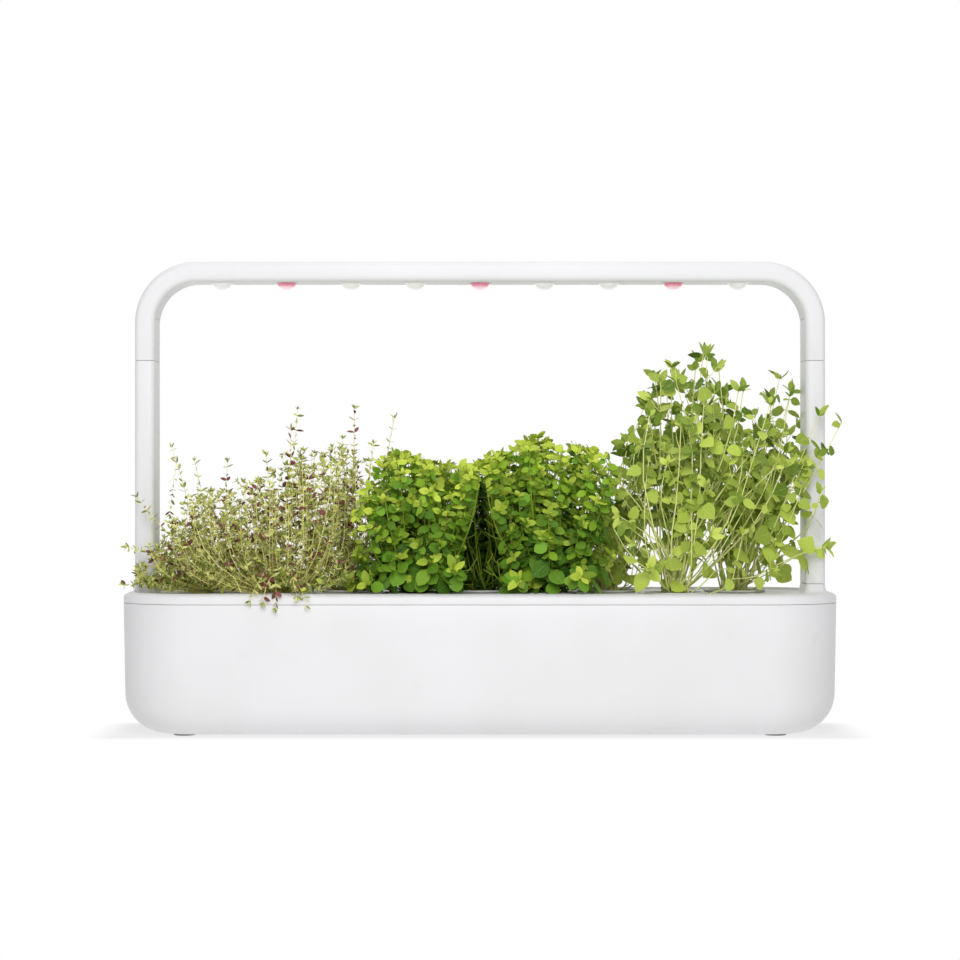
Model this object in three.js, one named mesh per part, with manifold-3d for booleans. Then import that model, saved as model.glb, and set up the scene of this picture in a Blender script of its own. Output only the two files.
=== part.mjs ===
// A countertop hydroponic garden: a water tank, a planting deck with nine cups, and a lamp arch on two arms.
// Millimetres, +Z up. X runs along the garden, the front faces -Y, and the origin is on the table under its middle.

import * as THREE from 'three';
import { mergeVertices } from 'three/addons/utils/BufferGeometryUtils.js';
import Module from 'manifold-3d';

const wasm = await Module();
wasm.setup();

// The planting grid. The holes zigzag in two rows, with one lamp lens over each of them.
const plantCount = 9;
const plantPitch = 55;
const rowOffset = 30;
const holeRadius = 24;
const endMargin = 80;
const rowMargin = 38.5;

// Clearances: between pieces that rest on each other, between pieces that slide, and past a face that is cut.
const seatGap = 0.3;
const slideGap = 0.4;
const overrun = 1;

// The water tank.
const tankHeight = 109;
const tankWall = 3;
const tankTaper = 2;
const tankFilletRadius = 33;
const baseCornerRadius = 62;

// The feet, pressed into shallow recesses of the tank floor.
const footHeight = 2;
const footRadius = 9;
const footChamfer = 0.8;
const footRecess = 1.2;
const footMargin = 8;

// The planting deck, whose lip locates it inside the tank.
const rimHeight = 8.7;
const rimRoundHeight = 4.3;
const rimRoundWidth = 8;
const ridgeWidth = 1;
const dishDepth = 2.3;
const dishSlopeWidth = 2;
const deckWall = 2.5;
const lipDepth = 6;
const lipWall = 2;

// The arms, and the collars of the deck that hold them.
const postThickness = 15;
const postDepth = 45;
const postCornerRadius = 5;
const postInset = 6;
const collarHeight = 6;
const armLength = 188.7;
const spigotLength = 14;
const spigotInset = 3;

// The electric contact plugs in the ends of the spigots.
const plugHeadRadius = 3;
const plugHeadLength = 3;
const contactPinRadius = 1.75;
const contactPinLength = 8;
const contactFloor = 2;

// The lamp arch, with the cover under it that holds back the light board.
const lampHeight = 84.2;
const bendRadius = 52;
const coverThickness = 2;
const coverSetback = 1;
const coverCornerRadius = 0.8;
const coverEndDegrees = 4;
const channelDepth = 8;
const channelHalfDepth = 17;
const channelMargin = 18;
const boardThickness = 1.6;

// The lenses of the lamp.
const lensRadius = 8;
const lensProtrusion = 5.7;
const lensFlangeWidth = 1.2;
const lensFlangeThickness = 1.5;

// The plant cups and the pods of growing medium in them, each with a felt wick.
const cupDepth = 42;
const cupDraft = 3.6;
const cupWall = 1.4;
const flangeWidth = 3;
const flangeThickness = 1.6;
const soilDrop = 2;
const wickWidth = 10;
const wickThickness = 2;
const wickClearance = 0.8;
const wickStandoff = 5;

// The water float in its guide.
const floatInset = 34;
const floatTravel = 28;
const floatCapRadius = 6;
const floatCapThickness = 4;
const floatStemRadius = 2.5;
const floatRadius = 10.5;
const floatLength = 34;
const guideWall = 1.5;
const guideStandoff = 9;
const guideLipWidth = 4;

// The power inlet, in a tongue of the deck that closes a notch in the tank's back wall.
const tongueWidth = 22;
const tongueHeight = 17.3;
const tongueSetback = 0.6;
const inletRadius = 5.5;
const inletLength = 12.5;
const inletBoreRadius = 3.2;
const inletBoreDepth = 9.5;
const inletPinRadius = 1;
const inletPinLength = 8;

// The timer board under the deck, in its dry tray.
const timerLength = 70;
const timerDepth = 24;
const timerPartHeight = 5;
const timerPartLength = 12;
const timerPartDepth = 10;
const trayWall = 1.5;
const trayMargin = 1.5;
const trayHeight = 13;

// The plants. Their crowns keep clear of each other, of the deck and of the arms.
const thymeHeight = 158;
const basilHeight = 134;
const oreganoHeight = 211;
const plantSpread = 58;
const crownGap = 1.5;
const postClearance = 3;
const edgeClearance = 3;
const stemRadius = 2.2;
const twigRadius = 1.1;
const sprigRadius = 8;
const sprigLength = 52;
const lumpCentreShare = 0.4;
const lumpRuffleShare = 0.12;

// How finely the round shapes are cut.
const bodyCornerSteps = 6;
const postCornerSteps = 2;
const filletSteps = 5;
const bendSteps = 7;
const lensSteps = 3;
const holeSides = 20;
const turnedSides = 16;
const lensSides = 12;
const plugSides = 8;
const lumpSides = 7;
const lumpRows = 5;
const twigSides = 3;

// Places that follow from the sizes above.
const columns = (plantCount - 1) / 2;
const baseHalfLength = columns * plantPitch + endMargin;
const baseHalfDepth = rowOffset + holeRadius + rowMargin;
const tankBottomZ = footHeight;
const tankTopZ = tankBottomZ + tankHeight;
const lipInset = tankWall + slideGap;
const lipBottomZ = tankTopZ - lipDepth;
const rimBottomZ = tankTopZ + seatGap;
const deckTopZ = rimBottomZ + rimHeight;
const rimShoulderZ = deckTopZ - rimRoundHeight;
const dishZ = deckTopZ - dishDepth;
const undersideZ = dishZ - deckWall;
const collarTopZ = deckTopZ + collarHeight;
const armBottomZ = collarTopZ + seatGap;
const armTopZ = armBottomZ + armLength;
const lampBottomZ = armTopZ + seatGap;
const lampTopZ = lampBottomZ + lampHeight;
const socketDepth = spigotLength + seatGap;
const contactBoreDepth = contactPinLength + seatGap;
const postHalf = postThickness / 2;
const postHalfDepth = postDepth / 2;
const postOuterX = baseHalfLength - postInset;
const postX = postOuterX - postHalf;
const archUndersideZ = lampTopZ - postThickness;
const channelTopZ = archUndersideZ + channelDepth;
const channelHalf = columns * plantPitch + channelMargin;
const boardTopZ = channelTopZ - seatGap;
const boardBottomZ = boardTopZ - boardThickness;
const coverInset = postThickness + seatGap;
const coverBottomZ = lampTopZ - coverInset - coverThickness;
const flangeBottomZ = dishZ + seatGap;
const flangeTopZ = flangeBottomZ + flangeThickness;
const cupBottomZ = flangeBottomZ - cupDepth;
const cupTopRadius = holeRadius - slideGap;
const cupBottomRadius = cupTopRadius - cupDraft;
const soilTopZ = flangeTopZ - soilDrop;
const tankFloorZ = tankBottomZ + tankWall;
const floatY = floatInset - baseHalfDepth;
const inletX = -(columns - 1) * plantPitch;
const timerX = -(columns / 2) * plantPitch;

const plastic = { color: 0xf0eff2, roughness: 0.35, metalness: 0 };
const innerPlastic = { color: 0xe4e4e4, roughness: 0.5, metalness: 0 };
const rubber = { color: 0x9c9c9a, roughness: 0.9, metalness: 0 };
const clearLens = { color: 0xe5e6e3, roughness: 0.15, metalness: 0 };
const pinkLens = { color: 0xe3b9bc, roughness: 0.2, metalness: 0 };
const circuitBoard = { color: 0xf4f4f0, roughness: 0.5, metalness: 0 };
const timerBoardLook = { color: 0x2c6b3f, roughness: 0.5, metalness: 0 };
const contactMetal = { color: 0xc9a85c, roughness: 0.3, metalness: 0.9 };
const darkPlastic = { color: 0x242426, roughness: 0.5, metalness: 0 };
const peat = { color: 0x3b2a1e, roughness: 0.95, metalness: 0 };
const thymeLeaf = { color: 0x76803c, roughness: 0.7, metalness: 0 };
const basilLeaf = { color: 0x5a8a24, roughness: 0.55, metalness: 0 };
const oreganoLeaf = { color: 0x79a034, roughness: 0.6, metalness: 0 };

// A closed geometry as a solid that can be cut and joined.
function solidOf(geometry) {
  const bare = geometry.clone();
  bare.deleteAttribute('normal');
  bare.deleteAttribute('uv');
  const merged = mergeVertices(bare);
  const index = merged.index.array;
  const triangles = [];
  for (let i = 0; i < index.length; i += 3) {
    const [a, b, c] = [index[i], index[i + 1], index[i + 2]];
    if (a !== b && b !== c && c !== a) {
      triangles.push(a, b, c);
    }
  }
  const mesh = new wasm.Mesh({
    numProp: 3,
    vertProperties: new Float32Array(merged.attributes.position.array),
    triVerts: new Uint32Array(triangles),
  });
  return new wasm.Manifold(mesh);
}

function geometryOf(solid) {
  const mesh = solid.getMesh();
  const geometry = new THREE.BufferGeometry();
  geometry.setAttribute('position', new THREE.BufferAttribute(new Float32Array(mesh.vertProperties), 3));
  geometry.setIndex(new THREE.BufferAttribute(new Uint32Array(mesh.triVerts), 1));
  geometry.computeVertexNormals();
  return geometry;
}

function joined(solids) {
  return solids.reduce((whole, next) => whole.add(next));
}

function cutBy(solid, tools) {
  return tools.reduce((rest, tool) => rest.subtract(tool), solid);
}

// The largest skin of a solid, without loose scraps that a cut leaves and without voids that lumps close in.
function mainSkin(solid) {
  return solid.decompose().reduce((largest, next) => (next.volume() > largest.volume() ? next : largest));
}

// A rectangle with round corners, as points in its own plane, anticlockwise.
function roundedOutline(halfX, halfY, radius, steps) {
  const corners = [
    [halfX - radius, halfY - radius, 0],
    [radius - halfX, halfY - radius, 1],
    [radius - halfX, radius - halfY, 2],
    [halfX - radius, radius - halfY, 3],
  ];
  return corners.flatMap(([x, y, quarter]) => {
    const points = [];
    for (let i = 0; i <= steps; i++) {
      const angle = ((quarter + i / steps) * Math.PI) / 2;
      points.push(new THREE.Vector2(x + radius * Math.cos(angle), y + radius * Math.sin(angle)));
    }
    return points;
  });
}

// The same rectangle as a level ring of points.
function levelRing(halfX, halfY, radius, z, steps, x = 0, y = 0) {
  return roundedOutline(halfX, halfY, radius, steps).map((p) => new THREE.Vector3(p.x + x, p.y + y, z));
}

// A closed skin through rings of equally many points, each ring anticlockwise as the next one sees it.
function loft(rings) {
  const count = rings[0].length;
  const last = (rings.length - 1) * count;
  const indices = [];
  for (let level = 0; level < last; level += count) {
    for (let i = 0; i < count; i++) {
      const a = level + i;
      const b = level + ((i + 1) % count);
      indices.push(a, b, b + count, a, b + count, a + count);
    }
  }
  for (let i = 1; i < count - 1; i++) {
    indices.push(0, i + 1, i, last, last + i, last + i + 1);
  }
  const geometry = new THREE.BufferGeometry().setFromPoints(rings.flat());
  geometry.setIndex(indices);
  return solidOf(geometry);
}

function block(x0, x1, y0, y1, z0, z1) {
  const box = new THREE.BoxGeometry(x1 - x0, y1 - y0, z1 - z0);
  return solidOf(box.translate((x0 + x1) / 2, (y0 + y1) / 2, (z0 + z1) / 2));
}

// A turned shape on a vertical axis. Its profile of [radius, height] runs from the axis's lower end to its upper.
function turned(profile, sides, x = 0, y = 0) {
  const points = profile.map(([radius, height]) => new THREE.Vector2(radius, height));
  const lathe = new THREE.LatheGeometry(points, sides).rotateX(Math.PI / 2);
  return solidOf(lathe.translate(x, y, 0));
}

function drum(radius, z0, z1, sides, x = 0, y = 0) {
  return turned([[0, z0], [radius, z0], [radius, z1], [0, z1]], sides, x, y);
}

// A stem that tapers from one point to another.
function limb(from, to, startRadius, endRadius) {
  const run = new THREE.Vector3().subVectors(to, from);
  const rod = new THREE.CylinderGeometry(endRadius, startRadius, run.length(), twigSides);
  const turn = new THREE.Quaternion().setFromUnitVectors(new THREE.Vector3(0, 1, 0), run.clone().normalize());
  rod.applyQuaternion(turn);
  const middle = new THREE.Vector3().addVectors(from, to).divideScalar(2);
  return solidOf(rod.translate(middle.x, middle.y, middle.z));
}

function named(name, solid, look) {
  const mesh = new THREE.Mesh(geometryOf(solid), new THREE.MeshStandardMaterial(look));
  mesh.name = name;
  return mesh;
}

// Where each hole of the deck is, from left to right.
function plantPlaces() {
  const places = [];
  for (let i = 0; i < plantCount; i++) {
    const side = i % 2 === 0 ? 1 : -1;
    places.push({ number: i + 1, x: (i - columns) * plantPitch, y: side * rowOffset });
  }
  return places;
}

function baseRing(inset, z) {
  const radius = baseCornerRadius - inset;
  return levelRing(baseHalfLength - inset, baseHalfDepth - inset, radius, z, bodyCornerSteps);
}

// The outer skin of the tank, or its inner skin a wall further in, from the floor up.
function bowlRings(wall, topZ) {
  const rings = [];
  const taperAt = (z) => (tankTaper * (tankTopZ - z)) / tankHeight;
  for (let i = 0; i <= filletSteps; i++) {
    const angle = ((i / filletSteps) * Math.PI) / 2;
    const z = tankBottomZ + tankFilletRadius - (tankFilletRadius - wall) * Math.cos(angle);
    const inset = tankFilletRadius - (tankFilletRadius - wall) * Math.sin(angle);
    rings.push(baseRing(inset + taperAt(z), z));
  }
  rings.push(baseRing(wall + taperAt(tankTopZ), tankTopZ));
  if (topZ > tankTopZ) {
    rings.push(baseRing(wall, topZ));
  }
  return rings;
}

function footPlaces() {
  const edge = tankFilletRadius + tankTaper + footMargin + footRadius;
  const x = baseHalfLength - edge;
  const y = baseHalfDepth - edge;
  return [
    ['foot_front_left', -x, -y],
    ['foot_front_right', x, -y],
    ['foot_back_left', -x, y],
    ['foot_back_right', x, y],
  ];
}

function waterTank() {
  const shell = loft(bowlRings(0, tankTopZ)).subtract(loft(bowlRings(tankWall, tankTopZ + overrun)));
  const recesses = footPlaces().map(([, x, y]) =>
    drum(footRadius + seatGap, tankBottomZ - overrun, tankBottomZ + footRecess, turnedSides, x, y));
  const notchHalf = tongueWidth / 2 + slideGap;
  const notch = block(inletX - notchHalf, inletX + notchHalf, baseHalfDepth - tankWall - tankTaper - overrun,
    baseHalfDepth + overrun, rimBottomZ - tongueHeight - slideGap, tankTopZ + overrun);
  return cutBy(shell, [...recesses, notch]);
}

function foot(x, y) {
  const top = tankBottomZ + footRecess - seatGap;
  const profile = [[0, 0], [footRadius - footChamfer, 0], [footRadius, footChamfer], [footRadius, top], [0, top]];
  return turned(profile, turnedSides, x, y);
}

// The deck's own skin: lip, rim with its rounded edge, ridge and shallow dish.
function deckShell() {
  const rings = [baseRing(lipInset, lipBottomZ), baseRing(lipInset, rimBottomZ), baseRing(0, rimBottomZ)];
  for (let i = 0; i <= filletSteps; i++) {
    const angle = ((i / filletSteps) * Math.PI) / 2;
    const inset = rimRoundWidth * (1 - Math.cos(angle));
    rings.push(baseRing(inset, rimShoulderZ + rimRoundHeight * Math.sin(angle)));
  }
  const ridgeInset = rimRoundWidth + ridgeWidth;
  rings.push(baseRing(ridgeInset, deckTopZ), baseRing(ridgeInset + dishSlopeWidth, dishZ));
  const cavityInset = lipInset + lipWall;
  const cavity = loft([baseRing(cavityInset, lipBottomZ - overrun), baseRing(cavityInset, undersideZ)]);
  return loft(rings).subtract(cavity);
}

function postRing(inset, z, x) {
  const half = postHalf - inset;
  return levelRing(half, postHalfDepth - inset, postCornerRadius - inset, z, postCornerSteps, x);
}

function postLoft(inset, z0, z1, x) {
  return loft([postRing(inset, z0, x), postRing(inset, z1, x)]);
}

// A collar flares out of the rim and goes on below the deck as the boss that holds the arm.
function collar(x) {
  const bossBottomZ = collarTopZ - socketDepth - contactBoreDepth - contactFloor;
  const rings = [postRing(0, bossBottomZ, x), postRing(0, rimBottomZ, x)];
  const flareHeight = collarTopZ - rimShoulderZ;
  for (let i = 0; i < filletSteps; i++) {
    const angle = ((i / filletSteps) * Math.PI) / 2;
    const spread = postInset * (1 - Math.sin(angle));
    rings.push(postRing(-spread, collarTopZ - flareHeight * Math.cos(angle), x));
  }
  rings.push(postRing(0, collarTopZ, x));
  return loft(rings);
}

function socket(x, mouthZ) {
  const bore = drum(contactPinRadius + slideGap, mouthZ - socketDepth - contactBoreDepth, mouthZ, plugSides, x);
  return postLoft(spigotInset - slideGap, mouthZ - socketDepth, mouthZ + overrun, x).add(bore);
}

function tongue() {
  const outerY = baseHalfDepth - tongueSetback;
  const innerY = baseHalfDepth - lipInset - lipWall;
  const half = tongueWidth / 2;
  return block(inletX - half, inletX + half, innerY, outerY, rimBottomZ - tongueHeight, rimShoulderZ);
}

// A shape turned on an axis along Y, with the profile's heights measured inwards from the tongue's outer face.
function turnedInlet(profile) {
  const points = profile.map(([radius, depth]) => new THREE.Vector2(radius, depth));
  const lathe = new THREE.LatheGeometry(points, turnedSides).rotateZ(Math.PI);
  return solidOf(lathe.translate(inletX, baseHalfDepth - tongueSetback, rimBottomZ - tongueHeight / 2));
}

function plantingDeck() {
  const bosses = [collar(-postX), collar(postX), tongue()];
  const holes = plantPlaces().map(({ x, y }) =>
    drum(holeRadius, undersideZ - overrun, deckTopZ + overrun, holeSides, x, y));
  const floatHole = drum(floatCapRadius + slideGap, undersideZ - overrun, deckTopZ + overrun, turnedSides, 0, floatY);
  const boreRadius = inletRadius + seatGap;
  const inletBore = turnedInlet([[0, -overrun], [boreRadius, -overrun], [boreRadius, inletLength], [0, inletLength]]);
  const cuts = [...holes, floatHole, inletBore, socket(-postX, collarTopZ), socket(postX, collarTopZ)];
  return cutBy(joined([deckShell(), ...bosses]), cuts);
}

function powerInlet() {
  const pinTipDepth = inletBoreDepth - inletPinLength;
  return turnedInlet([
    [0, pinTipDepth],
    [inletPinRadius, pinTipDepth],
    [inletPinRadius, inletBoreDepth],
    [inletBoreRadius, inletBoreDepth],
    [inletBoreRadius, 0],
    [inletRadius, 0],
    [inletRadius, inletLength],
    [0, inletLength],
  ]);
}

function timerPlaces() {
  const y = (rowOffset + holeRadius + baseHalfDepth - lipInset - lipWall) / 2;
  return { y, topZ: undersideZ - seatGap, bottomZ: undersideZ - seatGap - boardThickness };
}

function timerBoard() {
  const { y, topZ, bottomZ } = timerPlaces();
  const half = timerLength / 2;
  const board = block(timerX - half, timerX + half, y - timerDepth / 2, y + timerDepth / 2, bottomZ, topZ);
  const parts = [-1, 0, 1].map((place) => {
    const x = timerX + (place * timerLength) / 3;
    return block(x - timerPartLength / 2, x + timerPartLength / 2, y - timerPartDepth / 2, y + timerPartDepth / 2,
      bottomZ - timerPartHeight, topZ);
  });
  return joined([board, ...parts]);
}

function boardTray() {
  const { y, topZ } = timerPlaces();
  const innerHalf = timerLength / 2 + trayMargin;
  const innerHalfDepth = timerDepth / 2 + trayMargin;
  const outerHalf = innerHalf + trayWall;
  const outerHalfDepth = innerHalfDepth + trayWall;
  const floorZ = topZ - trayHeight;
  const shell = block(timerX - outerHalf, timerX + outerHalf, y - outerHalfDepth, y + outerHalfDepth, floorZ, topZ);
  const room = block(timerX - innerHalf, timerX + innerHalf, y - innerHalfDepth, y + innerHalfDepth,
    floorZ + trayWall, topZ + overrun);
  return shell.subtract(room);
}

// The guide is a tube with a lip at its foot, which the float rests on when the tank is empty.
function guidePlaces() {
  const radius = floatRadius + slideGap;
  return { radius, outerRadius: radius + guideWall, bottomZ: tankFloorZ + guideStandoff, topZ: undersideZ - seatGap };
}

function floatGuide() {
  const { radius, outerRadius, bottomZ, topZ } = guidePlaces();
  const lipRadius = radius - guideLipWidth;
  const lipTopZ = bottomZ + guideWall;
  const outer = drum(outerRadius, bottomZ, topZ, turnedSides, 0, floatY);
  const chamber = drum(radius, lipTopZ, topZ + overrun, turnedSides, 0, floatY);
  const mouth = drum(lipRadius, bottomZ - overrun, topZ, turnedSides, 0, floatY);
  return cutBy(outer, [chamber, mouth]);
}

function waterFloat() {
  const bottomZ = guidePlaces().bottomZ + guideWall + seatGap;
  const bodyTopZ = bottomZ + floatLength;
  const capTopZ = dishZ - floatTravel;
  const capBottomZ = capTopZ - floatCapThickness;
  const radius = floatRadius - seatGap;
  return turned([
    [0, bottomZ],
    [radius, bottomZ],
    [radius, bodyTopZ],
    [floatStemRadius, bodyTopZ],
    [floatStemRadius, capBottomZ],
    [floatCapRadius, capBottomZ],
    [floatCapRadius, capTopZ],
    [0, capTopZ],
  ], turnedSides, 0, floatY);
}

// A spigot that goes down into a socket, with a recess in its end for the contact plug.
function spigot(x, shoulderZ) {
  const endZ = shoulderZ - spigotLength;
  const recess = drum(plugHeadRadius + seatGap, endZ - overrun, endZ + plugHeadLength + seatGap, plugSides, x);
  return postLoft(spigotInset, endZ, shoulderZ + spigotInset, x).subtract(recess);
}

function contactPlug(x, shoulderZ) {
  const endZ = shoulderZ - spigotLength;
  return turned([
    [0, endZ - contactPinLength],
    [contactPinRadius, endZ - contactPinLength],
    [contactPinRadius, endZ],
    [plugHeadRadius, endZ],
    [plugHeadRadius, endZ + plugHeadLength],
    [0, endZ + plugHeadLength],
  ], plugSides, x);
}

function arm(x) {
  return joined([postLoft(0, armBottomZ, armTopZ, x), spigot(x, armBottomZ)]).subtract(socket(x, armTopZ));
}

// Rings of a strip that follows the arch, a given inset inside its outer face, from its right end to its left one.
// The strip starts at an angle up the bend, or goes on down a straight leg where the leg ends below the bend.
function archRings(inset, thickness, halfDepth, cornerRadius, startDegrees, legEndZ) {
  const centreX = postOuterX - bendRadius;
  const centreZ = lampTopZ - bendRadius;
  const reach = bendRadius - inset - thickness / 2;
  const outline = roundedOutline(thickness / 2, halfDepth, cornerRadius, postCornerSteps);
  const ringAt = (x, z, angle) => outline.map((p) =>
    new THREE.Vector3(x + (reach + p.x) * Math.cos(angle), p.y, z + (reach + p.x) * Math.sin(angle)));
  const start = THREE.MathUtils.degToRad(startDegrees);
  const angles = [];
  for (let i = 0; i <= bendSteps; i++) {
    angles.push(start + (i / bendSteps) * (Math.PI / 2 - start));
  }
  const rightBend = angles.map((angle) => ringAt(centreX, centreZ, angle));
  const leftBend = angles.reverse().map((angle) => ringAt(-centreX, centreZ, Math.PI - angle));
  if (legEndZ === centreZ) {
    return [...rightBend, ...leftBend];
  }
  return [ringAt(centreX, legEndZ, 0), ...rightBend, ...leftBend, ringAt(-centreX, legEndZ, Math.PI)];
}

function lampArch() {
  const bar = loft(archRings(0, postThickness, postHalfDepth, postCornerRadius, 0, lampBottomZ));
  const channel = block(-channelHalf, channelHalf, -channelHalfDepth, channelHalfDepth,
    archUndersideZ - overrun, channelTopZ);
  return joined([bar, spigot(-postX, lampBottomZ), spigot(postX, lampBottomZ)]).subtract(channel);
}

function ledCover() {
  const halfDepth = postHalfDepth - coverSetback;
  const rings = archRings(coverInset, coverThickness, halfDepth, coverCornerRadius, coverEndDegrees,
    lampTopZ - bendRadius);
  const strip = loft(rings);
  const holes = plantPlaces().map(({ x }) => drum(lensRadius + slideGap, coverBottomZ - overrun,
    coverBottomZ + coverThickness + overrun, turnedSides, x));
  return cutBy(strip, holes);
}

function ledBoard() {
  const half = channelHalf - slideGap;
  const halfDepth = channelHalfDepth - slideGap;
  return block(-half, half, -halfDepth, halfDepth, boardBottomZ, boardTopZ);
}

function lens(x) {
  const topZ = boardBottomZ - seatGap;
  const flangeRadius = lensRadius + lensFlangeWidth;
  const profile = [];
  for (let i = 0; i <= lensSteps; i++) {
    const angle = ((i / lensSteps) * Math.PI) / 2;
    profile.push([lensRadius * Math.sin(angle), coverBottomZ - lensProtrusion * Math.cos(angle)]);
  }
  profile.push([lensRadius, topZ - lensFlangeThickness], [flangeRadius, topZ - lensFlangeThickness]);
  profile.push([flangeRadius, topZ], [0, topZ]);
  return turned(profile, lensSides, x);
}

function plantCup(x, y) {
  const cup = turned([
    [0, cupBottomZ],
    [cupBottomRadius, cupBottomZ],
    [cupTopRadius, flangeBottomZ],
    [cupTopRadius + flangeWidth, flangeBottomZ],
    [cupTopRadius + flangeWidth, flangeTopZ],
    [cupTopRadius - cupWall, flangeTopZ],
    [cupBottomRadius - cupWall, cupBottomZ + cupWall],
    [0, cupBottomZ + cupWall],
  ], turnedSides, x, y);
  const slotHalf = wickWidth / 2 + wickClearance;
  const slotHalfDepth = wickThickness / 2 + wickClearance;
  const slot = block(x - slotHalf, x + slotHalf, y - slotHalfDepth, y + slotHalfDepth,
    cupBottomZ - overrun, cupBottomZ + cupWall + overrun);
  return cup.subtract(slot);
}

function soilPod(x, y) {
  const bottomZ = cupBottomZ + cupWall + seatGap;
  const inside = cupWall + slideGap;
  const medium = turned([
    [0, bottomZ],
    [cupBottomRadius - inside, bottomZ],
    [cupTopRadius - inside, soilTopZ],
    [0, soilTopZ],
  ], turnedSides, x, y);
  const wick = block(x - wickWidth / 2, x + wickWidth / 2, y - wickThickness / 2, y + wickThickness / 2,
    tankFloorZ + wickStandoff, bottomZ + wickWidth);
  return medium.add(wick);
}

// How tall each herb is along the garden, as [pitches to the right of the middle, share of the herb's height].
const thymeCrownShares = [
  [-4.84, 0.42],
  [-4.31, 0.52],
  [-3.69, 0.57],
  [-3.24, 0.66],
  [-2.93, 0.74],
  [-2.31, 0.8],
  [-1.84, 0.77],
  [-1.09, 0.63],
];
const basilCrownShares = [
  [-2.07, 0.12],
  [-1.75, 0.52],
  [-1.38, 0.87],
  [-0.82, 0.84],
  [0.0, 0.84],
  [0.4, 0.9],
  [0.85, 0.98],
  [1.09, 0.9],
  [1.82, 0.85],
  [2.15, 0.78],
];
const oreganoCrownShares = [
  [1.64, 0.08],
  [1.91, 0.2],
  [2.18, 0.43],
  [2.47, 0.66],
  [2.73, 0.85],
  [3.56, 0.96],
  [4.15, 0.8],
  [4.69, 0.84],
  [4.93, 0.75],
];

// How full each herb is, as a share of the width of its lumps.
const thymeFullnessShare = 0.92;
const basilFullnessShare = 1.15;
const oreganoFullnessShare = 0.92;

// The leafy lumps of a plant as [x, y, width, height]. The first three are shares of its spread, with Y away from
// the garden's middle line, and the height is a share of the crown's height at that place.
const lumpShares = [
  [0.0, 0.0, 0.5, 0.95],
  [-0.6, 0.24, 0.38, 0.92],
  [0.6, 0.24, 0.38, 0.92],
  [0.0, 0.5, 0.38, 0.86],
  [-0.36, -0.36, 0.36, 0.95],
  [0.36, -0.36, 0.36, 0.95],
  [-0.78, 0.62, 0.32, 0.42],
  [0.78, 0.62, 0.32, 0.42],
];

// Sprigs that stand out of the crown of a plant, by its number, as [x, y, z]: shares of its spread, as above, and of
// the herb's height.
const sprigShares = {
  1: [[-0.7, -0.2, 0.83], [0.08, 0.3, 0.72]],
  2: [[0.18, 0.1, 1.0]],
  3: [[0.03, -0.1, 1.0], [0.62, 0.0, 0.95]],
  6: [[-0.12, -0.3, 1.0]],
  8: [[0.5, -0.3, 1.0], [-0.25, 0.0, 0.88]],
  9: [[0.66, 0.0, 0.88]],
};

// One leafy lump: a ball whose surface rises and falls as leaves make it.
function lump(centre, width, height, turn) {
  const ball = new THREE.SphereGeometry(1, lumpSides, lumpRows).rotateX(Math.PI / 2).rotateZ(turn);
  const skin = mergeVertices(ball.deleteAttribute('normal').deleteAttribute('uv'));
  const points = skin.attributes.position;
  for (let i = 0; i < points.count; i++) {
    const swell = 1 + lumpRuffleShare * Math.sin(i * i);
    points.setXYZ(i, points.getX(i) * swell, points.getY(i) * swell, points.getZ(i));
  }
  return solidOf(skin.scale(width, width, height).translate(centre.x, centre.y, centre.z));
}

// The part of an outline on the near side of the line halfway between two places, less half a gap.
function trimmedOutline(outline, own, other) {
  const across = new THREE.Vector2(other.x - own.x, other.y - own.y);
  const reach = across.length() / 2 - crownGap / 2;
  across.normalize();
  const beyond = (p) => (p.x - own.x) * across.x + (p.y - own.y) * across.y - reach;
  const kept = [];
  outline.forEach((p, i) => {
    const next = outline[(i + 1) % outline.length];
    const here = beyond(p);
    const there = beyond(next);
    if (here <= 0) {
      kept.push(p);
    }
    if (here * there < 0) {
      kept.push(p.clone().lerp(next, here / (here - there)));
    }
  });
  return kept;
}

// The upright space over the deck that one plant keeps to, so that it lifts out past its neighbours.
function plantRoom(own, height) {
  const halfX = postOuterX - postThickness - postInset - postClearance;
  const halfY = baseHalfDepth - edgeClearance;
  const corners = [[-halfX, -halfY], [halfX, -halfY], [halfX, halfY], [-halfX, halfY]];
  let outline = corners.map(([x, y]) => new THREE.Vector2(x, y));
  plantPlaces().filter((other) => other.number !== own.number).forEach((other) => {
    outline = trimmedOutline(outline, own, other);
  });
  const depth = dishZ + height - flangeTopZ - crownGap;
  const room = new THREE.ExtrudeGeometry(new THREE.Shape(outline), { depth, bevelEnabled: false });
  return solidOf(room.translate(0, 0, flangeTopZ + crownGap));
}

function crownHeightAt(x, height, crownShares) {
  const place = x / plantPitch;
  const next = crownShares.findIndex(([edge]) => edge >= place);
  if (next <= 0) {
    return height * crownShares.at(next)[1];
  }
  const [start, startShare] = crownShares[next - 1];
  const [end, endShare] = crownShares[next];
  return height * THREE.MathUtils.mapLinear(place, start, end, startShare, endShare);
}

// A sprig: a thin twig from the fork, with a small lump at its end.
function sprig(fork, x, y, topZ, turn) {
  const centre = new THREE.Vector3(x, y, topZ - sprigLength / 2);
  return lump(centre, sprigRadius, sprigLength / 2, turn).add(limb(fork, centre, stemRadius, twigRadius));
}

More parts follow.
